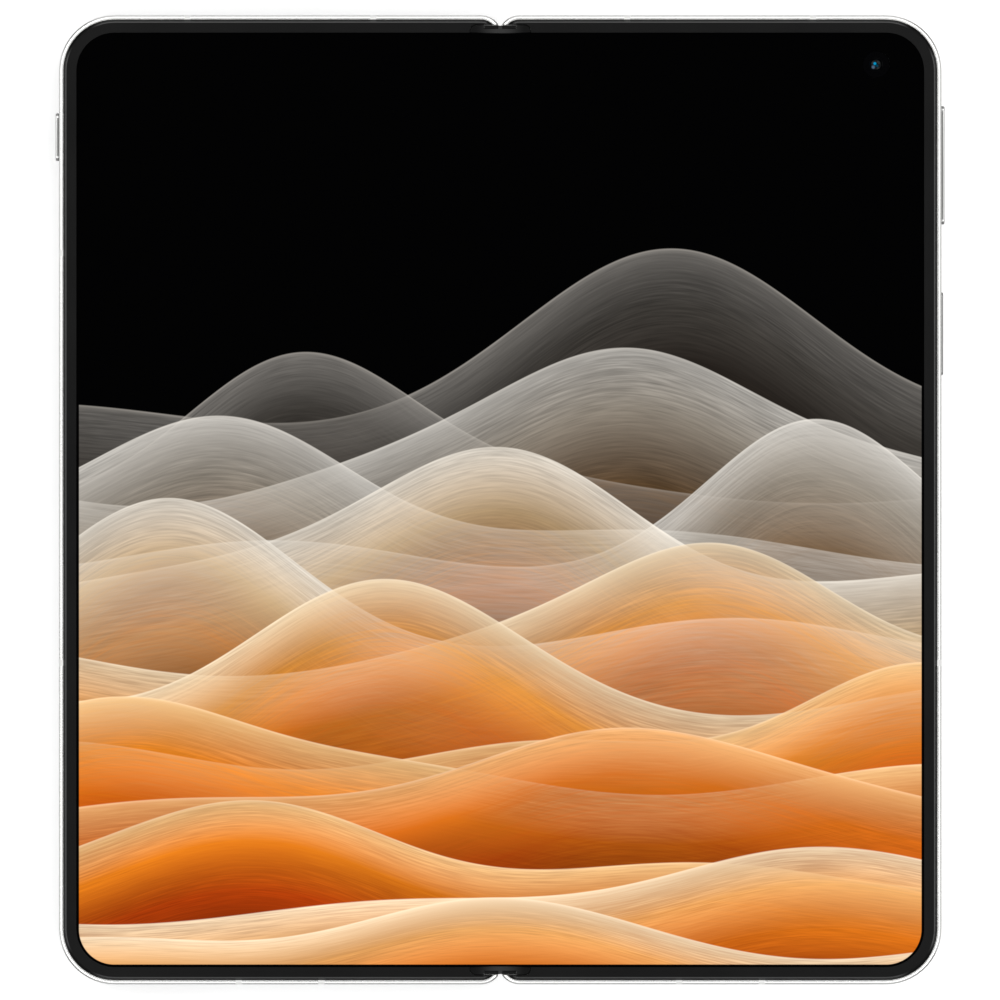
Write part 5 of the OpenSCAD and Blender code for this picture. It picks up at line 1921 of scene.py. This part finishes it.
@dataclass
class Wardrobe:
    """One finish for each slot of the record, and the finishes of the pieces made here."""

    sizes: PhoneSizes
    coil_y: float = -18.75 * MM
    made: dict[str, bpy.types.Material] = field(default_factory=dict)

    def build(self) -> None:
        """Makes every material once."""
        finishes = {
            "frame_metal": SatinMetal(
                "silver_frame", linear("#f4f4f2"), 0.85, 0.27, grain_depth=FINE_GRAIN
            ),
            # The keys get painted shade: dark grey where they leave the rail, fading out to their light
            # grey.
            "key_metal": KeyMetalWithPaintedShade(
                "silver_keys", linear("#737373"), linear("#dededc"),
                self.sizes.half_width + 0.05 * MM, self.sizes.half_width + 0.62 * MM,
            ),
            "spine_metal": SatinMetal(
                "silver_spine", linear("#ececea"), 0.85, 0.24, stretch=(1.0, 0.02, 1.0)
            ),
            "camera_rim": SatinMetal("turned_rim", linear("#dededc"), 0.9, 0.22),
            "band_plastic": Moulded("antenna_band", linear("#dcdcda"), 0.5),
            # The bezel's sloping rims get a painted highlight that is lighter than its black.
            "bezel_plastic": ChamferedMoulding("bezel_black", linear("#0c0c0c"), specular=0.15),
            "module_plastic": Moulded("module_black", linear("#121214"), 0.55),
            "back_glass": PolishedGlass("white_glass", linear("#f1f0ed"), 0.3, 0.08, 2e-6),
            "cover_glass": PolishedGlass("black_glass", linear("#08080a"), 0.03),
            "lens_glass": PolishedGlass("lens_black", linear("#050507"), 0.03),
            "inner_window": PolishedGlass("inner_window", linear("#030304"), 0.06, specular=0.14),
            "lens_metal": SatinMetal("lens_ring_metal", linear("#8d8f93"), 0.9, 0.26),
            "battery_foil": PouchFoil("battery_foil", linear("#5a5d61")),
            "board": CircuitBoard("circuit_board", linear("#14482e"), linear("#2f7a52")),
            "copper": Winding("coil_copper", linear("#c07f49"), (self.sizes.half_width / 2, self.coil_y)),
            "steel": SatinMetal(
                "sheet_steel", linear("#b4b5b6"), 1.0, 0.34, stretch=(1.0, 0.05, 1.0)
            ),
            "hinge_steel": SatinMetal("hinge_steel", linear("#9a9ca0"), 1.0, 0.3),
            "gear_brass": SatinMetal("gear_brass", linear("#cda865"), 1.0, 0.28),
            "flex": Moulded("ribbon_film", linear("#a86a2a"), 0.28),
            "soft_bridge": SoftBridge("soft_bridge", linear("#080808"), linear("#303030")),
            "trim_silver": SatinMetal("trim_silver", linear("#c9cacc"), 1.0, 0.16),
            "clear_window": ClearGlass("clear_window"),
            "barrel": Moulded("barrel_black", linear("#070708"), 0.42, specular=0.2),
        }
        for name, finish in finishes.items():
            self.made[name] = finish.build()
        self.made["inner_display"] = Artwork(
            "inner_display_artwork",
            self.sizes.half_width,
            self.sizes.half_height,
            border=3.33,
            corner=5.8,
            ribbons=artwork_ribbons(),
        ).build()

    def dress_nodes(self, frame: Mapping[str, object]) -> None:
        """Assigns each CAD node the finish of its slot.
        """
        slots = {part["node"]: part["material_slot"] for part in frame["record"]["subparts"]}
        for node, piece in frame["nodes"].items():
            piece.data.materials.clear()
            piece.data.materials.append(self.made[slots[node]])
            LOG.info("dressed %s in %s", node, slots[node])


def artwork_ribbons() -> tuple[Ribbon, ...]:
    """The display's ribbons from back to front, each a long swell with its own crest.

    Returns:
        The ribbons.
    """
    smoke = ("#8f8b86", "#5f5a54", "#3a3028", "#170f0a")
    pearl = ("#d9d5ce", "#b5aa9b", "#8a6a48", "#3b1f0c")
    cream = ("#efe7da", "#dcb98a", "#c87524", "#5c2407")
    amber = ("#f3dcb8", "#ef9d3e", "#d9640f", "#6a2205")
    flame = ("#f7c98c", "#f58a1e", "#c9470a", "#4a1503")
    ember = ("#f6b877", "#e2711c", "#8f2d06", "#2a0c02")
    glow = ("#ffe3bd", "#f9b46a", "#ef7d1c", "#8a2f06")
    return (
        Ribbon(14.0, 26.0, 30.0, 34.0, 2.0, 96.0, 0.4, 34.0, smoke, 0.5),
        Ribbon(2.0, 22.0, -34.0, 26.0, 2.5, 120.0, 1.9, 34.0, smoke, 0.55),
        Ribbon(2.0, 26.0, 22.0, 30.0, 3.0, 84.0, 2.8, 36.0, pearl, 0.62),
        Ribbon(-8.0, 24.0, -44.0, 30.0, 3.0, 110.0, 0.2, 36.0, pearl, 0.66),
        Ribbon(-9.0, 20.0, 52.0, 24.0, 2.4, 90.0, 4.2, 34.0, pearl, 0.66),
        Ribbon(-14.0, 24.0, 2.0, 30.0, 3.2, 130.0, 3.5, 38.0, cream, 0.7),
        Ribbon(-22.0, 20.0, -56.0, 28.0, 2.6, 88.0, 5.1, 34.0, cream, 0.74),
        Ribbon(-26.0, 20.0, 38.0, 28.0, 3.0, 100.0, 1.2, 34.0, amber, 0.76),
        Ribbon(-33.0, 18.0, -22.0, 30.0, 2.8, 92.0, 2.2, 32.0, amber, 0.8),
        Ribbon(-42.0, 16.0, 66.0, 26.0, 2.4, 84.0, 0.9, 30.0, flame, 0.82),
        Ribbon(-46.0, 16.0, -64.0, 28.0, 2.6, 96.0, 3.0, 30.0, flame, 0.84),
        Ribbon(-52.0, 16.0, 16.0, 34.0, 2.6, 108.0, 4.6, 28.0, ember, 0.86),
        Ribbon(-62.0, 12.0, -36.0, 30.0, 2.2, 90.0, 5.6, 24.0, flame, 0.88),
        Ribbon(-68.0, 12.0, 48.0, 32.0, 2.0, 100.0, 2.5, 22.0, glow, 0.9),
        Ribbon(-74.0, 8.0, -8.0, 30.0, 1.8, 80.0, 0.6, 18.0, glow, 0.92),
    )


@dataclass
class Studio:
    """White sweep, soft lamps and a long lens straight above the phone."""

    scale_mm_per_px: float = 0.16487
    image_px: int = 1000
    centre_px: Point = (500.25, 499.85)
    lens_mm: float = 200.0
    sensor_mm: float = 36.0
    lamp_height: float = 1.3
    lamp_reach: float = 0.85
    lamp_size: float = 0.7
    lamp_power: float = 4.0
    lamp_angles: tuple[float, ...] = (45.0, 135.0, 225.0, 315.0)
    floor_reach: float = 6.0
    floor_paint: float = 0.86
    floor_glow: float = 0.32

    def build(self, sizes: PhoneSizes) -> None:
        """Makes the floor, the world, the lamps and the camera.

        Args:
            sizes: The shared sizes.
        """
        bpy.context.scene.view_settings.view_transform = "Standard"
        self._floor()
        self._world()
        self._lamps()
        self._camera(sizes)

    def _floor(self) -> None:
        """A white floor that keeps the shadow, seen only from above."""
        material, net = new_material("white_floor")
        path = net.node("ShaderNodeLightPath")
        behind = Wire(net, net.node("ShaderNodeNewGeometry").outputs["Backfacing"])
        shown = Wire(net, path.outputs["Is Camera Ray"]) * (1.0 - behind)
        paint = net.node("ShaderNodeBsdfDiffuse", None, {"Color": (self.floor_paint,) * 3})
        glow = net.node("ShaderNodeEmission", None, {"Color": WHITE, "Strength": self.floor_glow})
        lit = net.node("ShaderNodeAddShader")
        net.tree.links.new(paint.outputs[0], lit.inputs[0])
        net.tree.links.new(glow.outputs[0], lit.inputs[1])
        clear = net.node("ShaderNodeBsdfTransparent")
        net.mix_shaders(shown, clear, lit)
        bm = bmesh.new()
        reach = self.floor_reach
        bm.faces.new(add_loop(bm, rectangle(-reach, -reach, reach, reach), 0.0))
        finish_mesh("floor", bm, material)

    def _world(self) -> None:
        """White to the camera; to reflections, a bright ring round a dark patch straight above."""
        world = bpy.data.worlds.new("studio")
        bpy.context.scene.world = world
        world.use_nodes = True
        net = Net(world.node_tree)
        path = net.node("ShaderNodeLightPath")
        camera, glossy = (Wire(net, path.outputs[n]) for n in ("Is Camera Ray", "Is Glossy Ray"))
        seen = net.maths("MAXIMUM", camera, Wire(net, path.outputs["Is Transmission Ray"]))
        across, front, up = net.parts(net.place("Generated"))
        soft = 0.62 + net.step(-up, -0.1, 0.4) * 0.33
        patch = net.step(net.maths("ABSOLUTE", up), 0.93, 0.985)
        ring = net.step(up, 0.5, 0.72)
        corner = net.diagonal(across, front, 0.35, 0.95)
        mirror = (0.53 + ring * 0.86) * (1.0 - corner * (1.0 - ring) * 0.75) * (1.0 - patch * 0.98)
        mirror = mirror * (1.08 - net.step(-front, 0.1, 0.9) * 0.3)
        strength = soft * (1.0 - glossy) + mirror * glossy
        strength = strength * (1.0 - seen) + seen
        shader = net.node("ShaderNodeBackground", None, {"Color": WHITE, "Strength": strength})
        output = net.node("ShaderNodeOutputWorld")
        net.tree.links.new(shader.outputs[0], output.inputs[0])

    def _lamps(self) -> None:
        """Four soft lamps round the camera's axis."""
        for number, angle in enumerate(self.lamp_angles):
            data = bpy.data.lights.new(f"softbox_{number}", "AREA")
            data.shape = "DISK"
            data.size = self.lamp_size
            data.energy = self.lamp_power
            lamp = bpy.data.objects.new(f"softbox_{number}", data)
            turn = math.radians(angle)
            x, y = self.lamp_reach * math.cos(turn), self.lamp_reach * math.sin(turn)
            lamp.location = (x, y, self.lamp_height)
            lamp.rotation_euler = (-lamp.location).to_track_quat("-Z", "Y").to_euler()
            bpy.context.scene.collection.objects.link(lamp)

    def _camera(self, sizes: PhoneSizes) -> None:
        """A long lens straight above the display, framed as the photograph is.

        Args:
            sizes: The shared sizes.
        """
        data = bpy.data.cameras.new("camera")
        data.lens = self.lens_mm
        data.sensor_width = self.sensor_mm
        span = self.scale_mm_per_px * MM * self.image_px
        distance = span * self.lens_mm / self.sensor_mm
        half = self.image_px / 2
        data.shift_x = (half - self.centre_px[0]) / self.image_px
        data.shift_y = (self.centre_px[1] - half) / self.image_px
        data.clip_start, data.clip_end = 0.01, 20.0
        camera = bpy.data.objects.new("camera", data)
        camera.location = (0.0, 0.0, sizes.top_z + distance)
        bpy.context.scene.collection.objects.link(camera)
        bpy.context.scene.camera = camera


def main() -> None:
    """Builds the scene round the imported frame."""
    logging.basicConfig(level=logging.INFO, format="%(name)s: %(message)s")
    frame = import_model()
    sizes = PhoneSizes.from_frame()
    wardrobe = Wardrobe(sizes)
    wardrobe.build()
    wardrobe.dress_nodes(frame)
    finish = wardrobe.made
    inner = InnerDisplay(sizes)
    # The inner camera's lens gets painted glints that glow by emission.
    jewel = PaintedGlintLens("inner_camera_painted_glints", (inner.camera_x, inner.camera_y), inner.painted_glints)
    inner.build(finish["inner_display"], finish["inner_window"], jewel.build())
    FoldParts(sizes).build(finish["soft_bridge"], finish["steel"], finish["flex"])
    glasses = BackGlasses(sizes)
    place, radius = glasses.cover_camera, glasses.cover_lens
    cover_lens = CoatedLens("cover_camera_coating", place, radius, *COVER_COATING)
    glasses.build(
        finish["back_glass"], finish["cover_glass"], finish["lens_glass"], cover_lens.build()
    )
    island = CameraIsland()
    coatings = [
        CoatedLens(f"lens_coating_{i}", island.station(angle), island.lens_radius, *tints).build()
        for i, (angle, tints) in enumerate(zip(island.lens_angles, LENS_COATINGS))
    ]
    flash = FlashWindow("flash_phosphor", island.station(island.flash_angle)).build()
    island.build(finish["barrel"], finish["trim_silver"], finish["clear_window"], coatings, flash)
    SideKeys(sizes).build(finish["key_metal"])
    ChargingPort(sizes).build(finish["steel"], finish["module_plastic"], finish["gear_brass"])
    Studio().build(sizes)


if __name__ == "__main__":
    main()
